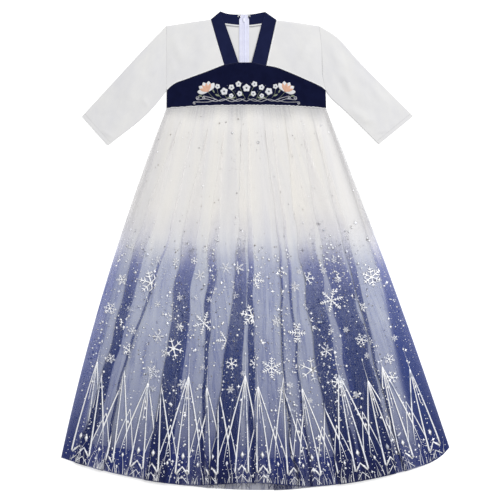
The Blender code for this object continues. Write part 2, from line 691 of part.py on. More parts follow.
def neck_fastening(material, collection):
    """A wire eye and a wire hook, one on each end of the back neck band."""
    x, y = ZIP_X - EYE_FROM_ZIP, NECK_BACK_Y - EYE_BELOW_NECK
    rod("neck_eye", wire_arc(x, y, EYE_RADIUS, 210, -30, 9), WIRE_RADIUS, material, collection)
    x, y = ZIP_X + HOOK_FROM_ZIP, NECK_BACK_Y - HOOK_BELOW_NECK
    hook = wire_arc(x, y, HOOK_RADIUS, -40, 180, 8)
    hook.append((x - HOOK_RADIUS, y - HOOK_SHANK, WIRE_LEVEL))
    rod("neck_hook", hook, WIRE_RADIUS, material, collection)


def main():
    clear_scene()
    hanfu = collection_named("hanfu")
    white = fabric("white_cloth", (0.77, 0.77, 0.75), 0.75)
    navy = fabric("navy_cloth", (0.010, 0.014, 0.055), 0.6)
    sheer = fabric("sheer_blue", (0.20, 0.23, 0.46), 0.7)
    satin = fabric("lining_white", (0.80, 0.79, 0.78), 0.4)
    tape = fabric("zip_tape", (0.72, 0.73, 0.84), 0.8)
    metal = fabric("fastener_metal", (0.75, 0.75, 0.76), 0.3, 1.0)

    outer_back(sheer, hanfu)
    lining("lining_back", LINING_BACK_LEVEL, satin, hanfu)
    lining("lining_front", LINING_FRONT_LEVEL, satin, hanfu)
    outer_front(sheer, hanfu)
    for side in ("right", "left"):
        back_panel(side, white, hanfu)
        front_panel(side, white, hanfu)
        sleeve(side, white, hanfu)
        collar(side, navy, hanfu)
        zip_tape(side, tape, hanfu)
    yoke(navy, hanfu)
    zip_coil(tape, hanfu)
    zip_slider(metal, hanfu)
    neck_fastening(metal, hanfu)


main()
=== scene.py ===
import bpy
import numpy as np
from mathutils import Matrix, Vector


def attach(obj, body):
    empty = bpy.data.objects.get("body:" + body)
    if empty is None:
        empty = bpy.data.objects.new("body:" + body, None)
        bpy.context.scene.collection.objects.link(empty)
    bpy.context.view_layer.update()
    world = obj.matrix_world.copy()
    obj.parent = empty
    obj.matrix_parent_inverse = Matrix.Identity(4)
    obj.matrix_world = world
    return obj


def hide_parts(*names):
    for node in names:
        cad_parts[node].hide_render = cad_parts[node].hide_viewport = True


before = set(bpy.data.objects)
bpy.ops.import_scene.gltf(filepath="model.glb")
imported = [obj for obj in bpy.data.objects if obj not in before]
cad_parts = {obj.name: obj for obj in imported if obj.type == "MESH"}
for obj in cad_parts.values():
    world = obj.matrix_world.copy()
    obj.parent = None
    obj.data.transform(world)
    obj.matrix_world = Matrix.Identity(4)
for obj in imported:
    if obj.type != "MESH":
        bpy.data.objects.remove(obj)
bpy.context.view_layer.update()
scene = bpy.context.scene
mm = 0.001
print("frame loaded:", len(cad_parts), "nodes")


# Curves and surfaces


def ease(low, high, value):
    # 0 up to low, 1 from high, a smooth step between
    share = np.clip((np.asarray(value, float) - low) / (high - low), 0, 1)
    return share * share * (3 - 2 * share)


def smoothThrough(stations, values, at):
    # a cubic through the values, with the mean slope of its neighbours at each station
    stations, values, at = (np.asarray(some, float) for some in (stations, values, at))
    slopes = np.gradient(values, stations)
    index = np.clip(np.searchsorted(stations, at, side="right") - 1, 0, len(stations) - 2)
    span = stations[index + 1] - stations[index]
    t = (at - stations[index]) / span
    return ((2 * t**3 - 3 * t**2 + 1) * values[index] + (t**3 - 2 * t**2 + t) * span * slopes[index]
            + (3 * t**2 - 2 * t**3) * values[index + 1] + (t**3 - t**2) * span * slopes[index + 1])


def lengthAlong(points, axis=0):
    # the running length along one axis of an array of points, from 0
    steps = np.linalg.norm(np.diff(points, axis=axis), axis=-1)
    return np.concatenate([0 * np.take(steps, [0], axis), np.cumsum(steps, axis)], axis)


def readAt(at, along, points):
    return np.stack([np.interp(at, along, column) for column in points.T], axis=-1)


def seamCurve(points, count, straight=False):
    # the smooth line through the points, read at even steps of its own length
    points = np.asarray(points, float)
    along = lengthAlong(points)
    if not straight and len(points) > 2:
        fine = np.linspace(0, along[-1], 40 * len(points))
        points = np.column_stack([smoothThrough(along, column, fine) for column in points.T])
        along = lengthAlong(points)
    return readAt(np.linspace(0, along[-1], count), along, points)


def patchBetween(low, high, start, end):
    # the panel between four seams: the two ruled surfaces added, less the one through the corners
    s, t = np.linspace(0, 1, len(low))[:, None, None], np.linspace(0, 1, len(start))[None, :, None]
    low, high, start, end = low[:, None], high[:, None], start[None], end[None]
    ruled = (1 - t) * low + t * high + (1 - s) * start + s * end
    corners = (1 - s) * (1 - t) * start[:, :1] + s * (1 - t) * end[:, :1]
    return ruled - corners - (1 - s) * t * start[:, -1:] - s * t * end[:, -1:]


def drawnIn(patch, gap):
    # each edge row moved towards the row inside it by the seam gap
    for rows in (patch, np.swapaxes(patch, 0, 1)):
        for edge, inner in ((0, 1), (-1, -2)):
            step = rows[inner] - rows[edge]
            rows[edge] += step / np.maximum(np.hypot(*step.T), 1e-6)[:, None] * gap
    return patch


def softNoise(x, y, size, seed, waves=8):
    # the sum of several sine waves of about one size, each with its own heading and phase
    rng = np.random.default_rng(seed)
    total = np.zeros(np.broadcast(x, y).shape)
    for heading, phase, stretch in rng.uniform((0, 0, 0.6), (np.pi, 2 * np.pi, 1.6), (waves, 3)):
        run = x * np.cos(heading) + y * np.sin(heading)
        total += np.sin(2 * np.pi * run / (size * stretch) + phase)
    return total / np.sqrt(waves)


def withHeight(patch, height):
    return np.dstack([patch, np.broadcast_to(height, patch.shape[:2])])


def unit(vectors):
    return vectors / np.maximum(np.linalg.norm(vectors, axis=-1, keepdims=True), 1e-9)


# Meshes and pieces


def meshFrom(name, points, faceGroups, uv=None, smooth=True):
    # points in mm; each group is an array of faces with the same number of corners; uv holds one
    # place a corner
    sizes = np.concatenate([np.full(len(faces), faces.shape[1], np.int32) for faces in faceGroups])
    loops = np.concatenate([faces.ravel() for faces in faceGroups]).astype(np.int32)
    mesh = bpy.data.meshes.new(name)
    mesh.vertices.add(len(points))
    mesh.vertices.foreach_set("co", (points * mm).astype(np.float32).ravel())
    mesh.loops.add(len(loops))
    mesh.loops.foreach_set("vertex_index", loops)
    mesh.polygons.add(len(sizes))
    mesh.polygons.foreach_set("loop_start", np.cumsum(sizes, dtype=np.int32) - sizes)
    mesh.update(calc_edges=True)
    if uv is not None:
        mesh.uv_layers.new(name="cloth").data.foreach_set("uv", (uv * mm).astype(np.float32).ravel())
    if smooth:
        mesh.shade_smooth()
    return mesh


def inScene(name, data):
    thing = bpy.data.objects.new(name, data)
    scene.collection.objects.link(thing)
    return thing


def pieceFrom(name, mesh, material, nodes=()):
    mesh.materials.append(material)
    piece = inScene(name, mesh)
    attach(piece, "root")
    if nodes:
        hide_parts(*nodes)
    return piece


def clothPiece(name, grid, wall, material, nodes=(), restsOn=None, closed=False, masks=()):
    # grid[i, j] is the cloth's middle surface, i across and j up. Its uv map is its flat cut, and
    # each mask becomes an attribute with one value a point
    around = np.concatenate([grid, grid[:1]]) if closed else grid
    across, up = around.shape[:2]
    flat = np.dstack([lengthAlong(around, 0), lengthAlong(around, 1)])
    width, length = (round(float(most * mm), 4) for most in (flat[-1, :, 0].max(), flat[:, -1, 1].max()))
    flat[..., 0] -= flat[-1:, :, 0] / 2
    index = np.arange(across * up).reshape(across, up)
    corners = np.stack([index[:-1, :-1], index[1:, :-1], index[1:, 1:], index[:-1, 1:]], axis=-1)
    corners = corners.reshape(-1, 4)
    mesh = meshFrom(name, grid.reshape(-1, 3), [corners % (len(grid) * up)], flat.reshape(-1, 2)[corners])
    # the open edges stay crisp once the wall has its thickness
    ends = np.empty(len(mesh.edges) * 2, np.int32)
    mesh.edges.foreach_get("vertices", ends)
    column, row = np.divmod(ends.reshape(-1, 2), up)
    borders = [row == 0, row == up - 1] + ([] if closed else [column == 0, column == across - 1])
    border = np.any([both.all(axis=1) for both in borders], axis=0)
    mesh.attributes.new("sharp_edge", "BOOLEAN", "EDGE").data.foreach_set("value", border)
    for label, mask in dict(masks).items():
        values = np.ascontiguousarray(mask, np.float32).ravel()
        mesh.attributes.new(label, "FLOAT", "POINT").data.foreach_set("value", values)
    piece = pieceFrom(name, mesh, material, nodes)
    solidify = piece.modifiers.new("wall", "SOLIDIFY")
    solidify.thickness, solidify.offset = wall * mm, 0
    solidify.use_even_offset = solidify.use_quality_normals = True
    if restsOn:
        # the cut is the widest row by the longest column; the area is half the length of the cross
        # product of each cell's diagonals, summed
        cells = np.cross(around[1:, 1:] - around[:-1, :-1], around[:-1, 1:] - around[1:, :-1])
        area = float(np.linalg.norm(cells, axis=2).sum() / 2 * mm * mm)
        area = round(min(area, 0.999 * width * length), 6)


def ringFaces(shape):
    # quads between the rings of closed bars, numbered bar by bar, ring by ring and corner by
    # corner, and a cap at each end
    index = np.arange(np.prod(shape)).reshape(shape)
    a, b = index[:, :-1], index[:, 1:]
    quads = np.stack([a, np.roll(a, -1, axis=2), np.roll(b, -1, axis=2), b], axis=-1).reshape(-1, 4)
    return [quads, np.concatenate([index[:, 0, ::-1], index[:, -1]])]


def plainUv(faceGroups):
    return [np.zeros((faces.size, 2)) for faces in faceGroups]


def tubes(paths, radius, sides, upright=(0, 0, 1)):
    # round bars along paths[s, n]: rings square to each path, capped at both ends; the uv map
    # has the way round across and the length up
    run = np.gradient(paths, axis=1)
    side = unit(np.cross(run, upright))
    up = unit(np.cross(side, run))
    angle = np.arange(sides + 1) * 2 * np.pi / sides
    turn = angle[:-1, None]
    points = paths[:, :, None] + (side[:, :, None] * np.cos(turn) + up[:, :, None] * np.sin(turn)) * radius
    faceGroups = ringFaces(points.shape[:3])
    uv = np.stack(np.broadcast_arrays(angle * radius, lengthAlong(paths, 1)[..., None]), axis=-1)
    uv = np.stack([uv[:, :-1, :-1], uv[:, :-1, 1:], uv[:, 1:, 1:], uv[:, 1:, :-1]], axis=-2).reshape(-1, 2)
    return points.reshape(-1, 3), faceGroups, [uv, plainUv(faceGroups)[1]]


def detailPiece(name, parts, material, nodes=(), smooth=True):
    # one piece from several lots of points, faces and, where given, uv places
    points, groups, places, start = [], {}, {}, 0
    for some, faceGroups, *uvGroups in parts:
        for faces, uv in zip(faceGroups, *uvGroups or [faceGroups]):
            groups.setdefault(faces.shape[1], []).append(faces + start)
            places.setdefault(faces.shape[1], []).append(uv)
        points.append(some)
        start += len(some)
    uv = np.concatenate(sum(places.values(), [])) if uvGroups else None
    faceGroups = [np.concatenate(faces) for faces in groups.values()]
    mesh = meshFrom(name, np.concatenate(points), faceGroups, uv, smooth)
    return pieceFrom(name, mesh, material, nodes)


# Shader groups


def newNode(tree, kind, inputs=(), **settings):
    # inputs has a value or an output socket for each socket's name or number
    node = tree.nodes.new("ShaderNode" + kind)
    for key, value in settings.items():
        setattr(node, key, value)
    for key, value in dict(inputs).items():
        if isinstance(value, bpy.types.NodeSocket):
            tree.links.new(value, node.inputs[key])
        else:
            node.inputs[key].default_value = value
    return node


def mathNode(tree, operation, *values):
    return newNode(tree, "Math", enumerate(values), operation=operation).outputs[0]


def ranged(tree, value, low, high):
    return newNode(tree, "MapRange", {"Value": value, "From Min": low, "From Max": high}).outputs[0]


def partOf(tree, place, axis):
    return newNode(tree, "SeparateXYZ", {0: place}).outputs[axis]


def stretched(tree, place, up):
    # the same places with their second axis shortened, so that a texture runs along it
    return newNode(tree, "Mapping", {0: place, "Scale": (1, up, 1)}).outputs[0]


def newGroup(name, inputs, outputs):
    # inputs are the numbers' names and first values, with None for places
    group = bpy.data.node_groups.new(name, "ShaderNodeTree")
    for label, value in inputs.items():
        kind = "NodeSocketFloat" if value else "NodeSocketVector"
        socket = group.interface.new_socket(label, in_out="INPUT", socket_type=kind)
        if value:
            socket.default_value = value
    for label in outputs:
        group.interface.new_socket(label, in_out="OUTPUT", socket_type="NodeSocketFloat")
    return group, group.nodes.new("NodeGroupInput").outputs, group.nodes.new("NodeGroupOutput").inputs


def makeWeave():
    # plain weave: the product of a sine along the warp and one along the weft, with slubs
    group, given, result = newGroup("weave", {"Cloth": None, "Threads": 2500, "Slub": 0.4},
                                    ("Height", "Shade"))
    warp, weft = (mathNode(group, "SINE", mathNode(group, "MULTIPLY", partOf(group, given["Cloth"], axis),
                                                   given["Threads"])) for axis in (0, 1))
    woven = mathNode(group, "MULTIPLY_ADD", mathNode(group, "MULTIPLY", warp, weft), 0.25, 0.5)
    grain = newNode(group, "TexNoise", {"Scale": 900, "Detail": 3,
                                        "Vector": stretched(group, given["Cloth"], 0.12)}).outputs["Fac"]
    slub = mathNode(group, "MULTIPLY", grain, given["Slub"])
    group.links.new(mathNode(group, "ADD", woven, slub), result["Height"])
    group.links.new(grain, result["Shade"])
    return group


def makeMottle():
    # two sizes of noise in one mask, for cloth that is never one even tone
    group, given, result = newGroup("mottle", {"Place": None, "Scale": 20, "Low": 0.3, "High": 0.7},
                                    ("Mask",))
    noise = newNode(group, "TexNoise", {"Vector": given["Place"], "Scale": given["Scale"], "Detail": 5,
                                        "Roughness": 0.62}).outputs["Fac"]
    group.links.new(ranged(group, noise, given["Low"], given["High"]), result["Mask"])
    return group


weaveGroup, mottleGroup = makeWeave(), makeMottle()


def placeGroup(tree, group, **values):
    return newNode(tree, "Group", values, node_tree=group).outputs


def mottled(tree, place, scale, low=0.3, high=0.7):
    return placeGroup(tree, mottleGroup, Place=place, Scale=scale, Low=low, High=high)["Mask"]


def newMaterial(name, roughness, metallic=0.0, **constants):
    # constants name the shader's own sockets, with spaces for underscores
    material = bpy.data.materials.new(name)
    material.use_nodes = True
    shader = material.node_tree.nodes["Principled BSDF"]
    for key, value in {"Roughness": roughness, "Metallic": metallic, **constants}.items():
        shader.inputs[key.replace("_", " ")].default_value = value
    return material, material.node_tree, shader


def tones(tree, mask, stops):
    # a colour ramp: stops are (share, linear colour)
    ramp = newNode(tree, "ValToRGB", {0: mask})
    while len(ramp.color_ramp.elements) < len(stops):
        ramp.color_ramp.elements.new(0.5)
    for element, (share, colour) in zip(ramp.color_ramp.elements, stops):
        element.position, element.color = share, (*colour, 1)
    return ramp.outputs[0]


def paint(tree, shader, mask, *colours):
    # the base colour between two tones, or through stops
    stops = tuple(enumerate(colours)) if len(colours) == 2 else colours
    tree.links.new(tones(tree, mask, stops), shader.inputs["Base Color"])


def blended(tree, factor, first, second, how="MIX"):
    # factor, first and second are values or output sockets; 6 and 7 are the colours' sockets
    mix = newNode(tree, "Mix", {0: factor, 6: first, 7: second}, data_type="RGBA", blend_type=how)
    return mix.outputs[2]


def bumpFrom(tree, shader, height, distance, strength=1.0):
    bump = newNode(tree, "Bump", {"Strength": strength, "Distance": distance * mm, "Height": height})
    tree.links.new(bump.outputs[0], shader.inputs["Normal"])


def clothMap(tree):
    return newNode(tree, "UVMap", uv_map="cloth").outputs[0]


def objectMap(tree):
    return newNode(tree, "TexCoord").outputs["Object"]


def attribute(tree, name):
    return newNode(tree, "Attribute", attribute_name=name).outputs["Fac"]


def lengthwise(tree, up):
    # places that follow the cloth's gores: its share across, and a little of its length
    length = mathNode(tree, "MULTIPLY", partOf(tree, clothMap(tree), 1), up)
    return newNode(tree, "CombineXYZ", {0: attribute(tree, "share"), 1: length}).outputs[0]


def wovenMaterial(name, up=None, **constants):
    # plain woven cloth: weave in the bump, a slow mottle between two near tones in the colour; where up is
    # given the mottle runs lengthwise and paints the shade of soft folds
    dark, light, roughness, threads, depth, scale = looks[name]
    material, tree, shader = newMaterial(name, roughness, **constants)
    cloth = clothMap(tree)
    weave = placeGroup(tree, weaveGroup, Cloth=cloth, Threads=threads)
    mask = mottled(tree, lengthwise(tree, up) if up else cloth, scale, 0.34, 0.66)
    shade = mathNode(tree, "MULTIPLY", weave["Shade"], 0.3)
    paint(tree, shader, mathNode(tree, "MULTIPLY_ADD", mask, 0.7, shade), dark, light)
    bumpFrom(tree, shader, weave["Height"], depth)
    return material


def netShadeBelow(material, high, low, turns):
    # painted shade: a slow change of tone down the piece, warm at the top and cool lower down, the blue
    # cast of light that reaches the lining through the dyed net
    tree = material.node_tree
    base = tree.nodes["Principled BSDF"].inputs["Base Color"]
    tone = tones(tree, ranged(tree, partOf(tree, objectMap(tree), 1), *turns), ((0, high), (1, low)))
    tree.links.new(blended(tree, 1, base.links[0].from_socket, tone, "MULTIPLY"), base)


# dark and light tone, roughness, turns of the weave a metre, its depth, and the mottle's scale
looks = {
    "whiteCloth": ((0.575, 0.575, 0.598), (0.668, 0.664, 0.650), 0.82, 9000, 0.05, 11),
    "navyCloth": ((0.0018, 0.0028, 0.018), (0.0038, 0.0056, 0.029), 0.85, 8000, 0.06, 60),
    "bandCloth": ((0.0056, 0.0080, 0.034), (0.0092, 0.0125, 0.049), 0.85, 8000, 0.06, 40),
    # the lining's darker tone is painted shade in soft lengthwise folds
    "liningSatin": ((0.637, 0.650, 0.686), (0.716, 0.716, 0.694), 0.5, 12000, 0.02, 11),
    "tapeCloth": ((0.560, 0.570, 0.720), (0.680, 0.690, 0.820), 0.7, 5200, 0.12, 90),
}
# painted shade: the lining turns bluer lower down, as light reaches it through the dyed net
netShadeOnLining = {"high": (1, 0.98, 0.957), "low": (0.97, 1, 1), "turns": (0.05, -0.03)}
whiteCloth = wovenMaterial("whiteCloth", Sheen_Weight=0.15)
navyCloth = wovenMaterial("navyCloth", Specular_IOR_Level=0.07)
bandCloth = wovenMaterial("bandCloth", Specular_IOR_Level=0.07)
# the lining's mottle runs lengthwise as painted shade of soft folds
liningSatin = wovenMaterial("liningSatin", 0.08, Sheen_Weight=0.2)
netShadeBelow(liningSatin, **netShadeOnLining)
tapeCloth = wovenMaterial("tapeCloth")
print("materials of the plain cloths made")


# The cut: seam lines of the bodice in plan, and the levels that the layers lie at

level = {"back": 0.6, "edgeRadius": 0.9, "front": 2.4, "yokeTop": 2.6, "yokeWaist": 4.0, "overZip": 4.3,
         "seamGap": 0.3}
outward = {"right": -1.0, "left": 1.0}
zipX = -24.5
neckBackY, bandLowY, zipEndY = 518.6, 495.6, 328.0
seams = {
    "right": {
        "fold": ((-97.4, 507.9), (-76.2, 525.5)),
        "stripOuter": ((-97.4, 507.9), (-83, 457.5), (-68.3, 408.2)),
        "stripInner": ((-76.2, 525.5), (-56, 469), (-36.9, 413.6)),
        "bandLow": ((-97.4, 507.9), (-83, 502), (-64.4, 499.3), (-42, 496.6), (zipX, bandLowY)),
        "bandHigh": ((-76.2, 525.5), (-64.6, 521.3), (-51.8, 519.3), (-37.3, 518.7), (zipX, neckBackY)),
        "shoulder": ((-97.6, 507.8), (-145, 501.4), (-195, 493.6)),
        "armhole": ((-195, 493.6), (-195.3, 420), (-194.6, 351.6)),
        "yokeTop": ((-194.6, 351.6), (-190.4, 356.4), (-179.9, 364.9), (-148.8, 377.6), (-106.8, 393),
                    (-68.3, 408.2)),
        "side": ((-194.6, 351.6), (-194.8, 312.5)),
        "sleeveTop": ((-195, 493.6), (-240, 447), (-303, 379), (-380, 295.4)),
        "sleeveLow": ((-195.6, 350.4), (-206, 336.5), (-227, 311.5), (-323, 231.3)),
    },
    "left": {
        "fold": ((46.1, 506.8), (20.8, 524.4)),
        "stripOuter": ((46.1, 506.8), (35, 457), (23.9, 406.3)),
        "stripInner": ((20.8, 524.4), (6.5, 469), (-7.8, 413.6)),
        "bandLow": ((46.1, 506.8), (31, 501.5), (13.8, 499.3), (-7, 496.5), (zipX, bandLowY)),
        "bandHigh": ((20.8, 524.4), (13, 522.9), (1, 520.6), (-12.9, 518.8), (zipX, neckBackY)),
        "shoulder": ((46.3, 506.8), (95, 500.6), (140, 493.2)),
        "armhole": ((140, 493.2), (145, 452), (148, 380), (154.6, 351.6)),
        "yokeTop": ((154.6, 351.6), (151, 355.6), (137.6, 363.4), (112.3, 374.9), (74.5, 391.2),
                    (46.5, 402), (23.9, 406.3)),
        "side": ((154.6, 351.6), (155.8, 312.5)),
        "sleeveTop": ((140, 493.2), (172, 474), (226, 417), (290, 352), (346.8, 295.8)),
        "sleeveLow": ((155.6, 350.4), (166, 336), (190, 314), (271.2, 234)),
    },
}
neckUnderYoke = ((-36.9, 413.3), (-7.8, 413.3), (23.9, 406.3))

# x and y of the start and the end, height and half width; a height below 0 is a trough
creases = {
    "sleeve_right": (
        (-216, 402, -250, 382, 1.5, 8), (-246, 384, -292, 338, 2.6, 17), (-205, 458, -236, 392, 1.6, 15),
        (-208, 372, -262, 312, 1.4, 8), (-262, 404, -336, 322, 1.2, 11), (-296, 306, -352, 288, -0.7, 9),
        (-334, 262, -312, 250, 1.1, 4), (-322, 252, -304, 246, 0.9, 3.5), (-246, 330, -232, 316, 1.2, 5),
    ),
    "sleeve_left": (
        (196, 384, 212, 344, 1.9, 8), (212, 392, 240, 330, 1.6, 17), (204, 306, 262, 284, 1.8, 11),
        (158, 466, 186, 408, 1.5, 11), (222, 400, 292, 318, 1.2, 11), (176, 384, 192, 352, -0.8, 7),
        (252, 256, 292, 264, 1.1, 3.6), (262, 245, 290, 255, 0.9, 3.2), (276, 262, 306, 282, 0.8, 4),
        (226, 280, 258, 288, 1, 5),
    ),
    "front_left": ((136, 486, 104, 424, 2.2, 12), (64, 448, 34, 418, 1.4, 8), (112, 446, 84, 402, 1.2, 9),
                   (136, 446, 124, 386, 1, 9)),
    "front_right": ((-182, 474, -160, 416, 1.7, 12), (-130, 492, -108, 430, 1, 12),
                    (-188, 424, -172, 378, 1.2, 8), (-152, 424, -118, 410, 0.9, 13)),
}


def creaseHeight(grid, rows):
    # for each crease a bell curve of the distance from its line, fading at both ends
    total = np.zeros(grid.shape[:2])
    for x, y, endX, endY, height, halfWidth in rows:
        away, run = grid[..., :2] - np.array([x, y]), np.array([endX - x, endY - y])
        along = away @ run / (run @ run)
        off = np.linalg.norm(away - np.clip(along, 0, 1)[..., None] * run, axis=2)
        ends = ease(-0.3, 0.3, along) * (1 - ease(0.7, 1.3, along))
        total += height * np.exp(-((off / halfWidth) ** 2)) * ends
    return total


# The skirt's plan, as shares u across and v down from the waist to the hem

skirt = {
    "waist": (-195, 156), "hem": (-426, 426), "bow": (0.30, 0.09), "waistSideY": 312.5, "waistCrown": 7,
    "hemLowY": -525.5, "hemLowU": 0.52, "hemRise": (72, 72, 22), "frontShorter": 18, "liningHemY": -452,
    "liningRise": (44, 24), "liningInset": (0.045, 0.06), "sheerBack": 0.5, "liningBack": 1.8,
    "liningFront": 3.1, "sheerFront": 4.8, "belowLift": 4.9, "swell": 2.2,
}


def waistY(u):
    # an even line that is a little higher in the middle
    return skirt["waistSideY"] + skirt["waistCrown"] * (1 - np.abs(2 * np.asarray(u, float) - 1) ** 2.5)


def waistYAt(x):
    left, right = skirt["waist"]
    return waistY(np.clip((np.asarray(x, float) - left) / (right - left), 0, 1))


def outFrom(middle, u):
    # shares of the way from a middle to the left and to the right side
    return np.clip((middle - u) / middle, 0, 1), np.clip((u - middle) / (1 - middle), 0, 1)


def hemY(u):
    # a long curve that rises to both side seams
    left, right = outFrom(skirt["hemLowU"], u)
    first, second, corner = skirt["hemRise"]
    return skirt["hemLowY"] + first * left**2 + second * right**1.8 + corner * right**20


def frontHemY(u):
    return hemY(u) + skirt["frontShorter"] * np.exp(-(((u - 0.49) / 0.13) ** 2))


def liningHemY(u):
    left, right = outFrom(0.5, u)
    return skirt["liningHemY"] + skirt["liningRise"][0] * left**2 + skirt["liningRise"][1] * right**2


def skirtPlan(u, v, hem=hemY):
    u, v = np.broadcast_arrays(np.asarray(u, float), np.asarray(v, float))
    left, right = (waist + (low - waist) * v * (1 + bow * (1 - v))
                   for waist, low, bow in zip(skirt["waist"], skirt["hem"], skirt["bow"]))
    top = waistY(u) - level["seamGap"]
    return left + (right - left) * u, top + (hem(u) - top) * v


def skirtWidth(v):
    return skirtPlan(1, v)[0] - skirtPlan(0, v)[0]


def liningEdges(v):
    return skirt["liningInset"][0] * v + 0.004, 1 - skirt["liningInset"][1] * v - 0.004


def lift(u, v):
    return ease(0.015, 0.10, u) * (1 - ease(0.90, 0.985, u)) * ease(0, 0.08, v)


def swell(u, v):
    waves = 0.8 + 0.35 * np.sin(2 * np.pi * (2.6 * u + 0.15 * v))
    return skirt["swell"] * lift(u, v) * np.sin(np.pi * np.clip(u, 0, 1)) ** 0.7 * waves * ease(0, 0.5, v)


def frontLevel(u, v):
    left, right = liningEdges(v)
    onLining = ease(0, left, u) * (1 - ease(right, 1, u))
    beside = (skirt["sheerFront"] - skirt["liningBack"]) * (1 - onLining) * ease(0.08, 0.3, v)
    return skirt["sheerFront"] - beside + skirt["belowLift"] * lift(u, v) + swell(u, v)


def backLevel(u, v):
    return skirt["sheerBack"] + 0 * u * v


# Pleats as in the solids: an S in the cloth, two turns of one radius with a middle layer between.
# A side of 1 shows its edge at +X and -1 at -X; places are shares of the width at waist, knee,
# shin and hem, and widths are at knee, shin and hem.

pleat = {
    "radius": 0.9, "shortest": 0.7, "stations": (0, 0.35, 0.7, 1), "waistWidth": 2.6, "formedAt": 0.12,
    "widens": (0.06, 0.32), "margin": 3, "room": 0.9, "sag": 0.85, "sagSpan": (12, 60), "turnSteps": 6,
    "edgeSteps": 3, "panelSteps": 15, "gatherSize": 6.2, "gatherHeight": 0.5, "gathersEnd": 0.25,
    "shadowEnd": 0.055, "lowest": 0.38, "rimShadow": (0.36, 0.62), "flatter": 0.5, "wander": 2.4,
    "hemPale": (0.90, 0.95), "ripple": 0.42, "fineRipple": 0.12,
    "edgeFold": (0.05, 0.032, 0.045),
    "edgeLeft": ((0.30, 0.36, 0.43, 0.62, 0.85), (0.34, 0.75, 0.36, 0.32, 0.54)),
}
frontPleats = (
    (-1, 0.115, 0.092, 0.078, 0.050, 26, 19, 26), (1, 0.200, 0.187, 0.122, 0.112, 5, 5, 6),
    (-1, 0.285, 0.272, 0.267, 0.245, 32, 42, 50), (1, 0.375, 0.368, 0.365, 0.365, 21, 7, 9),
    (-1, 0.470, 0.480, 0.446, 0.415, 17, 43, 60), (1, 0.512, 0.511, 0.502, 0.494, 10, 15, 8),
    (-1, 0.600, 0.628, 0.602, 0.612, 4, 4, 5), (1, 0.645, 0.655, 0.645, 0.645, 7, 4, 5),
    (-1, 0.725, 0.736, 0.733, 0.745, 39, 43, 48), (1, 0.810, 0.827, 0.828, 0.820, 42, 58, 76),
    (-1, 0.890, 0.889, 0.880, 0.885, 16, 5, 6),
)
backPleats = (
    (1, 0.160, 0.150, 0.145, 0.140, 22, 30, 36), (-1, 0.290, 0.280, 0.290, 0.285, 26, 30, 40),
    (1, 0.420, 0.410, 0.400, 0.405, 24, 34, 38), (-1, 0.560, 0.570, 0.580, 0.575, 22, 30, 40),
    (1, 0.700, 0.710, 0.705, 0.715, 28, 36, 44), (-1, 0.840, 0.845, 0.850, 0.850, 24, 28, 34),
)


def foldRows(v, width, row):
    # one pleat for all rows at once: the heading turns over, holds for the middle layer and
    # turns back; places and heights are the running sums of its cosine and sine
    side, *numbers = row
    steps, middle = pleat["turnSteps"], np.ones(pleat["edgeSteps"])
    angle = np.pi * ease(0, pleat["formedAt"], v)
    radius = pleat["radius"] * (1 - pleat["flatter"] * (1 - ease(0.22, 0.48, v)))
    place = smoothThrough(pleat["stations"], numbers[:4], v) * width
    place += pleat["wander"] * ease(0.15, 0.45, v) * softNoise(v * 900, 0 * v + 3000 * numbers[0], 120, 51)
    full = np.interp(v, pleat["stations"][1:], numbers[4:])
    full = pleat["waistWidth"] + (full - pleat["waistWidth"]) * ease(*pleat["widens"], v)
    length = np.maximum(full - 2 * radius, pleat["shortest"])
    part = (np.arange(steps) + 0.5) / steps
    heading = angle[:, None] * np.concatenate([part, middle, part[::-1]])
    turn = (radius * (np.pi + angle) / 2 / steps)[:, None] + np.zeros(steps)
    run = np.hstack([turn, length[:, None] / pleat["edgeSteps"] * middle, turn])
    start = np.zeros((len(v), 1))
    x, z = (np.hstack([start, np.cumsum(run * share, axis=1)])
            for share in (np.cos(heading), np.sin(heading)))
    x += place[:, None] - x[:, -1:] / 2
    return side, x, z[:, -1:] - z if side > 0 else z, np.where(angle > np.pi / 2, length, 0)


def panelRows(before, after):
    # between two folds: flat where a fold's layers lie under it, then an eased, sagging span
    start, end = before[1][:, -1:], after[1][:, :1]
    underStart = pleat["margin"] + (before[3] if before[0] <= 0 else 0 * before[3])[:, None]
    underEnd = pleat["margin"] + (after[3] if after[0] >= 0 else 0 * after[3])[:, None]
    fitted = np.minimum(1, pleat["room"] * (end - start) / (underStart + underEnd))
    first, last = start + underStart * fitted, end - underEnd * fitted
    edge = np.arange(1, pleat["edgeSteps"] + 1) / (pleat["edgeSteps"] + 1)
    shares = np.linspace(0, 1, pleat["panelSteps"])
    x = np.hstack([start + (first - start) * edge, first + (last - first) * shares,
                   last + (end - last) * edge])
    shares = np.concatenate([0 * edge, shares, 0 * edge + 1])
    sag = 1 - pleat["sag"] * np.sin(np.pi * shares) * ease(*pleat["sagSpan"], last - first)
    high = before[2][:, -1:] + (after[2][:, :1] - before[2][:, -1:]) * ease(0, 1, shares)
    return x, high * sag


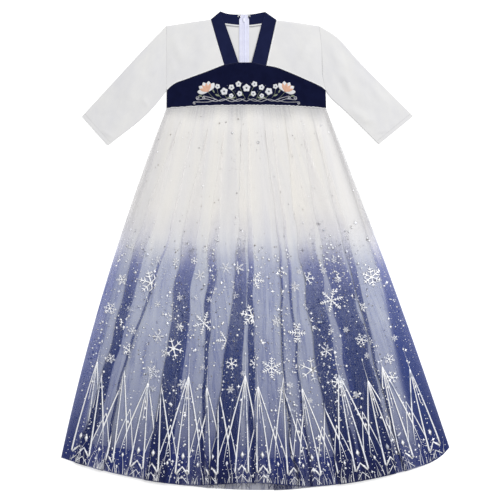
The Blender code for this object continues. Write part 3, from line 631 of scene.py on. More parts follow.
def pleatedGrid(pleats, hem, levelOf, rows, gathers, seed):
    v = np.linspace(0, 1, rows) ** 1.12
    width, flat = skirtWidth(v), np.zeros((rows, 1))
    left, right = liningEdges(v)
    folds = [(0, flat, flat, left * width - pleat["margin"]), *(foldRows(v, width, row) for row in pleats),
             (0, width[:, None], flat, (1 - right) * width - pleat["margin"])]
    x, z, free = [flat], [flat], [flat]
    for before, after in zip(folds[:-1], folds[1:]):
        panelX, panelZ = panelRows(before, after)
        x += [panelX, after[1]]
        z += [panelZ, after[2]]
        free += [np.sin(np.pi * np.linspace(0, 1, panelX.shape[1])) + flat, 0 * after[1]]
    x, z, free = np.hstack(x), np.hstack(z), np.hstack(free)
    v, width = v[:, None], width[:, None]
    u = x / width
    # 1 where a fold lays three layers on each other, and 0 on a single layer
    layers = np.zeros_like(x)
    for fold in folds[1:-1]:
        low, high = fold[1].min(axis=1)[:, None], fold[1].max(axis=1)[:, None]
        layers += ease(low - 1.2, low + 0.6, x) * (1 - ease(high - 0.6, high + 1.2, x))
    layers = np.clip(layers, 0, 1) * ease(0.06, 0.16, v)
    # waist gathers: fine waves fixed in the cloth, dying out down the skirt
    wander = softNoise(u * 300, v * 90, 32, seed)
    wave = 0.5 + 0.5 * np.sin(u * skirtWidth(0) / pleat["gatherSize"] * 2 * np.pi + 3 * wander)
    puckers = gathers * (1 - ease(0.02, pleat["gathersEnd"], v)) * wave
    puckers *= 0.5 + 0.5 * np.minimum(wander**2, 2)
    # painted shade: shadow is a grey band just under the waist seam, deeper in the gathers' troughs and
    # uneven along the waist; rims add painted shade along both side edges, more on the right
    uneven = np.clip(0.30 + 0.55 * softNoise(u * 350, 0 * u, 48, seed + 5), 0, 1)
    ends = pleat["shadowEnd"] * (0.7 + 0.5 * uneven)
    shadow = (0.70 + 0.40 * (1 - wave) * uneven) * (1 - ease(0, 1, v / ends))
    nearLeft, nearRight = pleat["rimShadow"]
    rims = nearLeft * (1 - ease(0.008, 0.045, u)) + nearRight * ease(0.945, 0.992, u)
    shadow = np.maximum(shadow, rims * (1 - ease(0.32, 0.42, v)))
    # slow ripples between the pleats, longer down the cloth than across it
    ripples = pleat["ripple"] * softNoise(u * 500, v * 90, 46, seed + 1)
    ripples += pleat["fineRipple"] * softNoise(u * 500, v * 60, 17, seed + 2)
    ripples = np.maximum(ripples, -1) * ease(0.05, 0.3, v)
    height = np.maximum(levelOf(np.clip(u, 0, 1), v) + z + (puckers + ripples) * free, pleat["lowest"])
    # the side folds, where the cloth turns under: the left one is paler, the right one widens
    left, right, wider = pleat["edgeFold"]
    right = right + wider * ease(0.45, 0.80, v)
    edge = np.interp(v, *pleat["edgeLeft"]) * (1 - ease(0.4 * left, left, u))
    edge *= 1 - 0.4 * (1 - ease(0.002, 0.014, u))
    deepens = (0.34 + 0.66 * ease(0.28, 0.38, v)) * (1 - 0.45 * ease(0.982, 0.996, u))
    edge += deepens * ease(1 - right, 1 - 0.6 * right, u)
    grid = np.swapaxes(np.dstack([*skirtPlan(u, v, hem), height]), 0, 1)
    across = lengthAlong(grid)
    # the painted shade goes to the net as a mask of its own, beside the layers, the side folds and the
    # share across
    masks = {"layers": layers.T, "gather": np.clip(shadow, 0, 1).T * (gathers > 0), "edge": edge.T,
             "share": across / across[-1:]}
    return grid, v[:, 0], masks


def sheetOf(grid, v, face):
    # the cloth as a place to print on: share of the cut across, row by row
    across = lengthAlong(grid)
    return {"grid": grid, "v": v, "share": across / across[-1:], "width": across[-1], "face": face,
            "length": float(lengthAlong(grid, 1)[len(grid) // 2, -1])}


def placeOn(sheet, share, v, off):
    # a point at a share across and v down: found in the row above and the row below, read from
    # the cell's four corners, and moved out along its normal
    grid, columns = sheet["grid"], len(sheet["grid"])
    row = np.clip(np.searchsorted(sheet["v"], v, side="right") - 1, 0, len(sheet["v"]) - 2)
    part = (v - sheet["v"][row]) / (sheet["v"][row + 1] - sheet["v"][row])
    flat = (sheet["share"].T + 2.0 * np.arange(len(sheet["v"]))[:, None]).ravel()

    def columnAt(row):
        found = np.searchsorted(flat, share + 2.0 * row, side="right") - 1
        found = np.clip(found, row * columns, row * columns + columns - 2)
        step = np.maximum(flat[found + 1] - flat[found], 1e-9)
        return found - row * columns + (share + 2.0 * row - flat[found]) / step

    column = columnAt(row) * (1 - part) + columnAt(row + 1) * part
    cell = np.clip(np.floor(column).astype(int), 0, columns - 2)
    side, part = (column - cell)[:, None], part[:, None]
    a, b, c, d = (grid[cell + right, row + down] for down in (0, 1) for right in (0, 1))
    point = (a * (1 - side) + b * side) * (1 - part) + (c * (1 - side) + d * side) * part
    return point + unit(np.cross((b - a) + (d - c), (a - c) + (b - d))) * np.reshape(off, (-1, 1))


# Bodice

bodice = {
    "wall": 0.7, "bandWall": 1.0, "steps": 56, "frontSwell": 1.1, "sleeveSwell": 1.6, "shoulderDrop": 0.75,
    "shoulderRun": 4, "wrinkle": 0.16, "wrinkleSize": 34, "cuffHem": 8, "hemThick": 0.35,
}


def wrinkles(grid, seed):
    return bodice["wrinkle"] * softNoise(grid[..., 0], grid[..., 1], bodice["wrinkleSize"], seed)


def waistLine(start, end, count):
    x = np.linspace(start, end, count)
    return np.column_stack([x, waistYAt(x)])


def backGrid(side):
    rows, steps = seams[side], bodice["steps"]
    outer = np.vstack([seamCurve(rows["side"], 20)[::-1], seamCurve(rows["armhole"], 50)[::-1][1:]])
    outer = seamCurve(outer, steps, straight=True)
    top = np.vstack([seamCurve(rows["bandLow"], 40)[::-1], seamCurve(rows["shoulder"], 40)[1:]])
    top = seamCurve(top, steps, straight=True)
    centre = seamCurve(((zipX, waistYAt(zipX)), (zipX, bandLowY)), steps)
    bottom = waistLine(zipX, rows["side"][-1][0], steps)
    bottom[-1] = outer[0]
    patch = drawnIn(patchBetween(bottom, top, centre, outer), level["seamGap"])
    return withHeight(patch, level["back"] - 0.2)


def frontGrid(side):
    # a low crown between the seams, raised by the creases; the shoulder edge rolls down to the back
    bottom, top, neck, armhole = (seamCurve(seams[side][name], bodice["steps"])
                                  for name in ("yokeTop", "shoulder", "stripOuter", "armhole"))
    patch = drawnIn(patchBetween(bottom[::-1], top, neck[::-1], armhole[::-1]), level["seamGap"])
    crown = np.sin(np.pi * np.linspace(0, 1, bodice["steps"]))
    raised = bodice["frontSwell"] + creaseHeight(patch, creases[f"front_{side}"]) + wrinkles(patch, 3)
    toShoulder = np.linalg.norm(patch - patch[:, -1:], axis=2)
    drop = bodice["shoulderDrop"] * (1 - ease(0, bodice["shoulderRun"], toShoulder)) * crown[:, None] ** 0.2
    return withHeight(patch, level["front"] + raised * (crown[:, None] * crown) ** 0.6 - drop)


def sleeveGrid(side):
    # a flat tube: across the back, round the lower fold, over the front and round the upper fold
    rows, along, across = seams[side], 90, 24
    armhole = seamCurve(rows["armhole"], across, straight=True)
    armhole[-1] = rows["sleeveLow"][0]
    armhole += np.array([outward[side] * 1.5 * level["seamGap"], 0])
    top, low = seamCurve(rows["sleeveTop"], along), seamCurve(rows["sleeveLow"], along)
    top[0], low[0] = armhole[0], armhole[-1]
    cuff = seamCurve((rows["sleeveTop"][-1], rows["sleeveLow"][-1]), across)
    patch = patchBetween(top, low, armhole, cuff)
    s, middle = np.linspace(0, 1, along)[None, :], (level["back"] + level["front"]) / 2
    places = np.concatenate([[0.02], np.linspace(0, 1, across)[1:-1], [0.98]])[:, None]
    turns = np.radians(np.linspace(-80, 80, 7))[:, None]
    fold = level["edgeRadius"] * (1 - np.cos(turns)) / np.hypot(*(top - low).T)
    turned = middle + level["edgeRadius"] * np.sin(turns)
    crown = bodice["sleeveSwell"] * np.sin(np.pi * places[::-1]) * (0.7 * np.sin(np.pi * s) + 0.3 * s)
    at = np.vstack([places + 0 * s, 1 - fold, places[::-1] + 0 * s, fold[::-1]]) * (across - 1)
    height = np.vstack([level["back"] + 0 * places + 0 * s, turned + 0 * s, level["front"] + crown,
                        turned[::-1] + 0 * s])
    cell = np.clip(np.floor(at).astype(int), 0, across - 2)
    column, share = np.broadcast_to(np.arange(along), at.shape), (at - cell)[..., None]
    grid = withHeight(patch[column, cell] * (1 - share) + patch[column, cell + 1] * share, height)
    above = grid[..., 2] - level["front"]
    raised = creaseHeight(grid, creases[f"sleeve_{side}"]) + wrinkles(grid, 5)
    fromCuff = np.linalg.norm(grid[..., :2] - grid[:, -1:, :2], axis=2)
    raised += bodice["hemThick"] * (1 - ease(bodice["cuffHem"] - 2, bodice["cuffHem"] + 1.5, fromCuff))
    grid[..., 2] += np.where(above > 0.05, np.maximum(raised, -above) * np.minimum(1, above / 0.6), 0)
    return grid


def collarGrid(side):
    # sections across the band: up the front edge, round the shoulder fold, along the back neck
    rows, steps, gap = seams[side], 44, level["seamGap"] / 2
    outer, inner = (seamCurve(rows[name], steps)[::-1] for name in ("stripOuter", "stripInner"))
    low, high = (seamCurve(rows[name], 28) for name in ("bandLow", "bandHigh"))
    for strip, band in ((outer, low), (inner, high)):
        strip[0, 1] += gap
        band[-1, 0] += outward[side] * gap
    foldLow, foldHigh = np.array(rows["fold"])
    run = unit(foldHigh - foldLow)
    inward = outward[side] * np.array([-run[1], run[0]])
    raised = (1 - ease(0, 0.45, np.linspace(0, 1, steps)))[:, None]
    front, over = level["front"], level["overZip"]
    turns = np.radians(np.linspace(90, -90, 9))[:, None]
    inset = inward * (level["edgeRadius"] * (1 - np.cos(turns)) + 0.1)
    z = (level["back"] + front + 0.1) / 2 + level["edgeRadius"] * np.sin(turns)
    flat = np.full((len(low) - 1, 1), level["back"] + 0.1)
    starts, ends = (np.vstack([np.hstack([strip, height])[:-1], np.hstack([fold + inset, z]),
                               np.hstack([band[1:], flat])])[:, None]
                    for strip, height, fold, band in (
                        (outer, front + 0.2 * raised, foldLow, low),
                        (inner, front + (over - front - 0.2) * raised, foldHigh, high)))
    across = np.linspace(0, 1, 14)[None, :, None]
    grid = starts * (1 - across) + ends * across
    uneven = 1 + 0.4 * softNoise(grid[..., 0], grid[..., 1], 40, 9)
    grid[..., 2] += 0.12 * np.sin(np.pi * across[..., 0]) * uneven
    return grid


yokeTopLine = np.vstack([seamCurve(seams["right"]["yokeTop"], 40), neckUnderYoke,
                         seamCurve(seams["left"]["yokeTop"], 40)[::-1][1:]])


def yokeHeight(x, y):
    # eased from the waist's level to the top's, and never lower than what clears the zip
    low = waistYAt(x)
    t = (y - low) / np.maximum(np.interp(x, *yokeTopLine.T) - low, 1)
    height = level["yokeWaist"] + (level["yokeTop"] - level["yokeWaist"]) * ease(0, 0.8, t)
    height += np.maximum(level["overZip"] - height, 0) * (1 - ease(15, 40, np.abs(x - zipX)))
    return height + 0.12 * softNoise(x, y, 70, 12)


def yokeGrid():
    top = seamCurve(yokeTopLine, 130, straight=True)
    start, end = (seamCurve(seams[side]["side"], 30)[::-1] for side in outward)
    bottom = waistLine(start[0, 0], end[0, 0], len(top))
    start[0], end[0] = bottom[0], bottom[-1]
    patch = drawnIn(patchBetween(bottom, top, start, end), level["seamGap"])
    return withHeight(patch, yokeHeight(patch[..., 0], patch[..., 1]))


for side in outward:
    for part, grid, closed in (("back", backGrid(side), False), ("front", frontGrid(side), False),
                               ("sleeve", sleeveGrid(side), True)):
        node = f"{part}_{side}"
        clothPiece(f"cloth_{node}", grid, bodice["wall"], whiteCloth, (node,), "table",
                   closed)
    clothPiece(f"cloth_collar_{side}", collarGrid(side), bodice["bandWall"], bandCloth,
               (f"collar_{side}",), f"cloth_front_{side}")
clothPiece("cloth_yoke", yokeGrid(), bodice["bandWall"], navyCloth, ("yoke_front",),
           "cloth_back_left")
print("bodice made")


# Sheer skirt and lining

sheer = {
    "wall": 0.18, "rows": (110, 90), "liningWall": 0.3, "liningSteps": (70, 80), "liningRipple": 0.22,
    "dyeY": (0.12, -0.52), "dyeWander": 0.05,
    "singleTones": ((0, (0.88, 0.86, 0.83)), (0.11, (0.75, 0.75, 0.80)), (0.20, (0.29, 0.32, 0.54)),
                    (0.32, (0.090, 0.128, 0.400)), (0.60, (0.042, 0.072, 0.310)),
                    (0.86, (0.020, 0.034, 0.180)), (1, (0.006, 0.010, 0.070))),
    # stacked layers: darker in the blue, partly painted shade between the layers; lighter near the waist,
    # painted light against the folds' shade
    "stackedShadedTones": ((0, (0.93, 0.91, 0.88)), (0.11, (0.73, 0.73, 0.80)), (0.20, (0.22, 0.25, 0.50)),
                  (0.32, (0.064, 0.092, 0.290)), (0.60, (0.022, 0.044, 0.190)),
                  (0.86, (0.009, 0.017, 0.100)), (1, (0.004, 0.007, 0.050))),
    "cover": ((0, 0.16), (0.10, 0.155), (0.18, 0.180), (0.26, 0.178), (0.31, 0.155), (0.38, 0.142),
              (0.45, 0.178), (0.60, 0.200), (0.70, 0.230), (0.77, 0.290), (0.83, 0.430), (0.92, 0.420),
              (1, 0.36)),
    "streak": ((0, 0.015), (0.12, 0.03), (0.25, 0.07), (1, 0.07)),
    "band": ((0, 0.03), (0.12, 0.04), (0.25, 0.11), (0.65, 0.11), (1, 0.09)),
    "line": ((0, 0.02), (0.12, 0.03), (0.25, 0.09), (1, 0.09)),
    "paleFold": ((0, 0.075), (0.12, 0.06), (0.22, 0)),
    "lines": ((0, 0), (0.30, 0), (0.36, 1), (0.42, 0), (0.70, 0), (0.75, 1), (0.80, 0)),
    # painted shade of soft lengthwise folds: the lilac end darkens, the cream end is a warm tint
    "softFoldShades": ((0, (0.80, 0.80, 0.86)), (0.45, (0.96, 0.96, 0.98)), (1, (1, 0.985, 0.95))),
    # the grey tone and its extra cover are painted shade under the waist seam and along the side rims
    "edgeCover": 0.46, "gatherCover": 0.15, "gatherTone": (0.44, 0.44, 0.46, 1),
    "alone": (-128, -112), "pastMiddle": (-6, 14),
}


def makeSheer():
    # net dyed from off-white at the waist to deep blue: one ramp down the skirt for a single layer and
    # another where the folds lie on each other: in the blue it is darker, partly as painted shade between
    # the stacked layers, and near the waist it is lighter as painted light against the folds' shade. Over
    # the colour go painted shade of soft lengthwise folds and painted shade under the waist seam and along
    # the side rims. The net's cover is a sum of ramps too
    material, tree, shader = newMaterial("sheerNet", 0.66, Specular_IOR_Level=0.2)
    streak = mottled(tree, lengthwise(tree, 0.02), 100, 0.25, 0.75)
    band = mottled(tree, lengthwise(tree, 0.045), 26, 0.32, 0.66)
    wander = mathNode(tree, "MULTIPLY_ADD", streak, sheer["dyeWander"], partOf(tree, objectMap(tree), 1))
    down = ranged(tree, wander, *sheer["dyeY"])
    layers, gather, edge = (attribute(tree, name) for name in ("layers", "gather", "edge"))

    def grey(mask, name):
        # a ramp of plain values
        return tones(tree, mask, [(share, (value,) * 3) for share, value in sheer[name]])

    single, deep = (tones(tree, down, sheer[name]) for name in ("singleTones", "stackedShadedTones"))
    colour = blended(tree, mathNode(tree, "MAXIMUM", layers, edge), single, deep)
    # painted shade of soft lengthwise folds, multiplied over the dyed colour
    colour = blended(tree, 1, colour, tones(tree, band, sheer["softFoldShades"]), "MULTIPLY")
    # painted shade under the waist seam and along the side rims
    tree.links.new(blended(tree, gather, colour, sheer["gatherTone"]), shader.inputs["Base Color"])
    cover = grey(down, "cover")
    # the soft fold bands and the painted shade also thicken the cover
    for mask, name in ((streak, "streak"), (mathNode(tree, "SUBTRACT", 0.5, band), "band"),
                       (grey(band, "lines"), "line"), (mathNode(tree, "MULTIPLY", layers, -1), "paleFold"),
                       (gather, "gatherCover"), (edge, "edgeCover")):
        share = sheer[name] if name.endswith("Cover") else grey(down, name)
        cover = mathNode(tree, "MULTIPLY_ADD", mask, share, cover)
    tree.links.new(cover, shader.inputs["Alpha"])
    return material


def liningGrid(base):
    across, rows = sheer["liningSteps"]
    s = (0.5 - 0.5 * np.cos(np.linspace(0, np.pi, across)))[:, None]
    v = np.linspace(0, 1, rows) * (waistY(s) - liningHemY(s)) / (waistY(s) - hemY(s))
    left, right = liningEdges(v)
    u = left + s * (right - left)
    ripples = sheer["liningRipple"] * softNoise(u * 500, v * 120, 60, 21) * ease(0, 0.2, v)
    height = base + skirt["belowLift"] * lift(u, v) + swell(u, v) + ripples
    return np.dstack([*skirtPlan(u, v), height]), s + 0 * v


frontNet, frontV, frontMasks = pleatedGrid(frontPleats, frontHemY, frontLevel, sheer["rows"][0],
                                           pleat["gatherHeight"], 31)
backNet, backV, backMasks = pleatedGrid(backPleats, hemY, backLevel, sheer["rows"][1], 0, 41)
# below the front's hem the back lies alone on the table, so its net is thinner there
alone = ease(*sheer["alone"], backNet[..., 0]) * (1 - 0.6 * ease(*sheer["pastMiddle"], backNet[..., 0]))
layers = backMasks["layers"]
pale = -(0.50 + (0.35 + 1.2 * alone) * layers) * ease(*pleat["hemPale"], backV)
# on the back that mask is below 0: it paints no shade and only thins the net towards the hem
backMasks.update(gather=pale * (0.45 + 0.65 * alone), layers=layers * (0.5 - 0.4 * alone), edge=0 * layers)
sheerNet = makeSheer()
clothPiece("sheer_skirt_front", frontNet, sheer["wall"], sheerNet, ("skirt_front",),
           "cloth_lining_front", masks=frontMasks)
clothPiece("sheer_skirt_back", backNet, sheer["wall"], sheerNet, ("skirt_back",), "table",
           masks=backMasks)
for node, base, below in (("lining_back", skirt["liningBack"], "sheer_skirt_back"),
                          ("lining_front", skirt["liningFront"], "cloth_lining_back")):
    grid, share = liningGrid(base)
    clothPiece(f"cloth_{node}", grid, sheer["liningWall"], liningSatin, (node,), below,
               masks={"share": share})
print("skirt made:", frontNet[..., 0].size, "points in the front")


# Foil print: small closed shapes drawn in millimetres, x across the cloth and y towards the
# waist, round a place on the cloth, then laid on its outer side through every fold

foil = {
    "clear": 0.10, "metal": 0.3, "ridge": 0.06,
    # the grey end of the silver tones is painted dark glints
    "silver": ((0, (0.42, 0.45, 0.55)), (0.3, (0.80, 0.83, 0.90)), (0.55, (0.95, 0.96, 1)),
               (1, (0.99, 0.99, 1))),
    # dark grey to tan tones for the dull flecks
    "darkFleckTones": ((0, (0.03, 0.03, 0.045)), (0.6, (0.12, 0.105, 0.10)), (1, (0.34, 0.29, 0.22))),
    "columns": 22, "tallApex": (236, 212), "shortApex": (148, 128), "archFoot": (46, 24, 40),
    "archHalf": 40, "archThick": (4.4, 2.6), "innerThick": (4.2, 2.0), "shortThick": (2.9, 1.7),
    "pointed": 0.85, "needle": 52, "chevrons": ((22, 17, 13, 4), (4, 15, 13, 1.7)),
    "lozenges": (8.5, 5.5, 4), "beadHeights": (84, 94, 102), "beads": (1.9, 1.5, 1.1), "blades": 300,
    "bladeTall": (10, 62), "dots": 5200, "sparks": 420, "specks": 110, "dullDots": 800,
    "flatWidth": 1350, "flatLength": 840, "rows": (0.002, 0.9985), "shares": (0.003, 0.997),
}
lozenge = np.array([(0.5, 0), (0, 1), (-0.5, 0), (0, -1)])
# branch places along the arm, their lengths, stroke width at radius 1 and hub radius, as shares
flakeKinds = (
    ((0.34, 0.56, 0.78), (0.30, 0.27, 0.17), 0.075, 0.13),
    ((0.45, 0.72), (0.34, 0.22), 0.085, 0.20),
    ((0.28, 0.50, 0.70, 0.86), (0.14, 0.22, 0.17, 0.10), 0.065, 0.10),
    ((0.62,), (0.30,), 0.11, 0.24),
)
# least and most radius, stations of a stroke and the part of the skirt
flakeSizes = ((23, 30, 8, (0.46, 0.70)), (12, 17, 5, (0.42, 0.76)), (6, 9.5, 4, (0.38, 0.78)))


def foilMaterial(name, stops):
    # metal film whose tone and gloss break up in grains, with a fine crackle; in the silver foil the grey
    # grains are painted dark glints
    material, tree, shader = newMaterial(name, 0.3, foil["metal"])
    place = objectMap(tree)
    grain, largePatches = mottled(tree, place, 420, 0.3, 0.5), mottled(tree, place, 34, 0.34, 0.5)
    grain = mathNode(tree, "MULTIPLY", grain, largePatches)
    paint(tree, shader, grain, *stops)
    tree.links.new(mathNode(tree, "MULTIPLY_ADD", grain, -0.14, 0.40), shader.inputs["Roughness"])
    crackle = newNode(tree, "TexVoronoi", {"Vector": place, "Scale": 2600}).outputs["Distance"]
    bumpFrom(tree, shader, crackle, 0.05, 0.5)
    return material


def polygon(count, inner=1):
    # a regular polygon, or a star whose inner corners lie between its points
    angle = np.arange(count) * 2 * np.pi / count
    reach = np.where(np.arange(count) % 2, inner, 1)
    return np.column_stack([np.cos(angle), np.sin(angle)]) * reach[:, None]


def fromHem(sheet, height):
    return 1 - np.asarray(height, float) / sheet["length"]


def onCloth(sheet, share, v, local, rise):
    # the row is the place's own less y over the cloth's length; the share moves by x over the
    # width of that row. A shape that would pass the cloth's edge is left out
    first = (-1,) + (1,) * (local.ndim - 2)
    down = np.reshape(v, first) - local[..., 1] / sheet["length"]
    across = np.reshape(share, first) + local[..., 0] / np.interp(down, sheet["v"], sheet["width"])
    rise = np.broadcast_to(sheet["face"] * rise, down.shape)
    (top, low), (left, right) = foil["rows"], foil["shares"]
    kept = (down > top) & (down < low) & (across > left) & (across < right)
    points = placeOn(sheet, across.ravel(), down.ravel(), rise.ravel()).reshape(*down.shape, 3)
    return points[kept.reshape(len(kept), -1).all(axis=1)]


def strokes(sheet, share, v, paths, widths):
    # each path is a low ridge: at each station a left corner, a raised middle and a right corner
    run = np.gradient(paths, axis=1)
    side = unit(np.stack([-run[..., 1], run[..., 0]], axis=-1)) * widths[..., None] / 2
    corners = np.stack([paths + side, paths, paths - side], axis=2)
    points = onCloth(sheet, share, v, corners, foil["clear"] + foil["ridge"] * np.array([0, 1, 0]))
    return points.reshape(-1, 3), ringFaces(points.shape[:3])


def spots(sheet, share, v, corners, sizes):
    # each spot is a rim with a raised centre: a fan of triangles over one flat face
    local = np.vstack([corners, (0, 0)]) * np.reshape(sizes, (-1, 1, 1))
    rise = foil["clear"] + foil["ridge"] * (np.arange(len(corners) + 1) == len(corners))
    points = onCloth(sheet, share, v, local, rise)
    index = np.arange(points[..., 0].size).reshape(points.shape[:2])
    rim = index[:, :-1]
    fans = np.stack([index[:, -1:] + 0 * rim, rim, np.roll(rim, -1, axis=1)], axis=-1)
    return points.reshape(-1, 3), [fans.reshape(-1, 3), rim[:, ::-1]]


def foilPiece(name, sheet, parts, material=None):
    if sheet["face"] < 0:
        parts = [(points, [faces[:, ::-1] for faces in faceGroups]) for points, faceGroups in parts]
    detailPiece(name, parts, material or silverFoil, smooth=False)


def archColumn(sheet, share, apex, half, dense, tall):
    # a lancet arch: its half width is the foot's times 1 less the rise to the power 1.25; a tall
    # one has an inner arch, a stem that ends in a needle, and chevrons in its foot
    outer, inner, single = foil["archFoot"]
    t, scale = np.linspace(0, 1, dense), 1 if tall else 0.72
    legs = ((1, outer, foil["archThick"], 1), (0.36, inner, foil["innerThick"], 0)) if tall else (
        (1, single, foil["shortThick"], 1),)
    lines = []
    for reach, foot, (low, high), pointed in legs:
        widths = (low + (high - low) * t) * (1 - pointed * foil["pointed"] * (1 - ease(0, 0.45, t)))
        lines += [(side * half * reach * (1 - t**1.25), foot + (apex - foot) * t, widths)
                  for side in (-1, 1)]
    if tall:
        stem = apex * 0.62 + (apex * 0.38 + foil["needle"]) * t
        lines.append((0 * t, stem, 1.6 - 1.3 * ease(0.4, 1, t)))
        for low, rise, reach, width in foil["chevrons"]:
            x = np.linspace(-1, 1, 5)
            lines.append((reach * x, low + rise * (1 - np.abs(x)), width + 0 * x))
    parts = [strokes(sheet, share, 1, np.column_stack([x, y])[None], widths[None])
             for x, y, widths in lines]
    marks = (62 * scale, apex * 0.80, apex + foil["needle"] * (0.9 if tall else 0.2))
    sizes = np.array(foil["lozenges"]) * (scale, 1, 1)
    parts.append(spots(sheet, share, fromHem(sheet, marks), lozenge, sizes))
    beads = np.array(foil["beadHeights"]) * scale
    parts.append(spots(sheet, share, fromHem(sheet, beads), polygon(6), foil["beads"]))
    return parts


def borderPiece(name, sheet, columns, dense, seed):
    # tall and short arches by turns, with rows of beads and thin curved blades between them
    rng = np.random.default_rng(seed)
    half, parts = foil["archHalf"] * foil["columns"] / columns, []
    for column in range(columns):
        share = (column + 0.5) / columns
        tall, short = foil["tallApex"][column % 2], foil["shortApex"][column % 2]
        parts += archColumn(sheet, share, tall, half, dense, True)
        parts += archColumn(sheet, share + 0.5 / columns, short, half * 0.55, dense // 2, False)
    share = (np.arange(4 * columns) + 0.5) / (4 * columns)
    for number in range(5):
        v, sizes = fromHem(sheet, 14 + 9 * number), 1.35 - 0.1 * number + 0 * share
        parts.append(spots(sheet, share + 0.002 * (number % 2), v, polygon(6), sizes))
    blades = foil["blades"] * columns // foil["columns"]
    share, lean = rng.uniform(0.01, 0.99, blades), rng.uniform(-1, 1, (blades, 1))
    low, high = foil["bladeTall"]
    tall = low + (high - low) * rng.uniform(0, 1, (blades, 1)) ** 2
    t = np.linspace(0, 1, 8)
    paths = np.stack([lean * 0.34 * tall * t**1.7, 2 + tall * t], axis=-1)
    parts.append(strokes(sheet, share, 1, paths, rng.uniform(0.6, 1.7, (blades, 1)) * (1 - 0.8 * t)))
    foilPiece(name, sheet, parts)


def flakeStrokes(kind, radii, turns, count):
    # six arms at 60 degrees, each with pairs of branches that leave it at 60 degrees
    places, lengths, thick, _ = kind
    arm = [((0, 0), (1, 0))] + [((place, 0), (place + length / 2, side * length * np.sqrt(0.75)))
                                for place, length in zip(places, lengths) for side in (-1, 1)]
    starts, ends = np.swapaxes(arm, 0, 1)[:, :, None]
    share = np.linspace(0, 1, count)
    x, y = np.moveaxis(starts * (1 - share[:, None]) + ends * share[:, None], -1, 0)
    angles, perFlake = (turns[:, None] + np.arange(6) * np.pi / 3)[..., None, None], 6 * len(arm)
    cosine, sine = np.cos(angles), np.sin(angles)
    paths = np.stack([x * cosine - y * sine, x * sine + y * cosine], axis=-1)
    paths = (paths * np.reshape(radii, (-1, 1, 1, 1, 1))).reshape(-1, count, 2)
    widths = np.repeat(np.clip(radii * thick * 1.6, 0.9, 3.4), perFlake)[:, None] * (1 - 0.55 * share)
    return paths, widths, perFlake


def scattered(rng, count, radius, taken, band):
    # darts thrown one by one; a dart stays where it is clear of all before it
    found = []
    for _ in range(count * 60):
        if len(found) == count:
            break
        share, v = rng.uniform(0.02, 0.98), rng.uniform(*band)
        width = foil["flatWidth"] * (0.35 + 0.65 * v)
        if all(np.hypot((share - s) * width, (v - w) * foil["flatLength"]) >= (radius + r) * 1.15
               for s, w, r in taken):
            found.append((share, v))
            taken.append((share, v, radius))
    return np.reshape(found, (-1, 2))


def flakePiece(name, sheet, counts, seed):
    rng = np.random.default_rng(seed)
    parts, taken = [], []
    for (low, high, stations, band), count in zip(flakeSizes, counts):
        for kind in flakeKinds:
            share, v = scattered(rng, count // len(flakeKinds), high, taken, band).T
            radii, turns = rng.uniform(low, high, len(share)), rng.uniform(0, np.pi / 3, len(share))
            paths, widths, perFlake = flakeStrokes(kind, radii, turns, stations)
            parts.append(strokes(sheet, np.repeat(share, perFlake), np.repeat(v, perFlake), paths, widths))
            parts.append(spots(sheet, share, v, polygon(6), radii * kind[3]))
    foilPiece(name, sheet, parts)


def dotPiece(name, sheet, dots, sparks, seed):
    # dots in drifts: a dart stays with a chance that follows slow waves and the height
    rng = np.random.default_rng(seed)
    parts = []
    for count, corners, low, high in (
            (dots * 3 // 4, polygon(5), 0.7, 1.3), (dots // 4, polygon(6), 1.3, 3.1),
            (sparks, polygon(8, 0.24), 3.2, 6.5)):
        share, v = rng.uniform(0.005, 0.995, count * 6), rng.uniform(0.02, 0.985, count * 6)
        drift = np.exp(1.1 * softNoise(share * 1400, v * 500, 120, seed))
        chance = drift * (0.012 + ease(0.30, 0.46, v) * (1 - 0.45 * ease(0.72, 0.85, v))) / 3
        kept = np.where(rng.uniform(0, 1, count * 6) < chance)[0][:count]
        sizes = low + (high - low) * rng.uniform(0, 1, len(kept)) ** 2
        parts.append(spots(sheet, share[kept], v[kept], corners, sizes))
    foilPiece(name, sheet, parts)


def speckPiece(name, sheet, count, seed):
    # a few dull flecks on the pale part above the dye, and more among the bright dots below it
    rng = np.random.default_rng(seed)
    v = np.append(0.02 + 0.40 * rng.uniform(0, 1, count) ** 0.8, rng.uniform(0.36, 0.84, foil["dullDots"]))
    share, sizes = rng.uniform(0.01, 0.99, len(v)), 0.6 + 0.9 * rng.uniform(0, 1, len(v)) ** 2
    foilPiece(name, sheet, [spots(sheet, share, v, polygon(6), sizes)], dullFoil)


silverFoil = foilMaterial("silverFoil", foil["silver"])
dullFoil = foilMaterial("dullFoil", foil["darkFleckTones"])
frontSheet, backSheet = sheetOf(frontNet, frontV, 1), sheetOf(backNet, backV, -1)
borderPiece("foil_border_front", frontSheet, foil["columns"], 44, 51)
flakePiece("foil_flakes_front", frontSheet, (12, 36, 68), 52)
dotPiece("foil_dots_front", frontSheet, foil["dots"], foil["sparks"], 53)
speckPiece("foil_specks_front", frontSheet, foil["specks"], 54)
borderPiece("foil_border_back", backSheet, foil["columns"] - 2, 24, 61)
flakePiece("foil_flakes_back", backSheet, (8, 16, 24), 62)
dotPiece("foil_dots_back", backSheet, foil["dots"] // 2, foil["sparks"] // 2, 63)
print("foil print laid on the skirt")


# Embroidery on the yoke: one half is laid out and the other mirrors it. Petals and leaves are
# low cushions of satin stitch, and the scrolls are thick couched thread

spray = {"centre": (-19.5, 348), "cushion": 0.75, "scrollRadius": 0.34, "scrollApart": 0.42,
         "twigRadius": 0.36, "fanFoot": (84, 0.5), "fanHeading": 62}
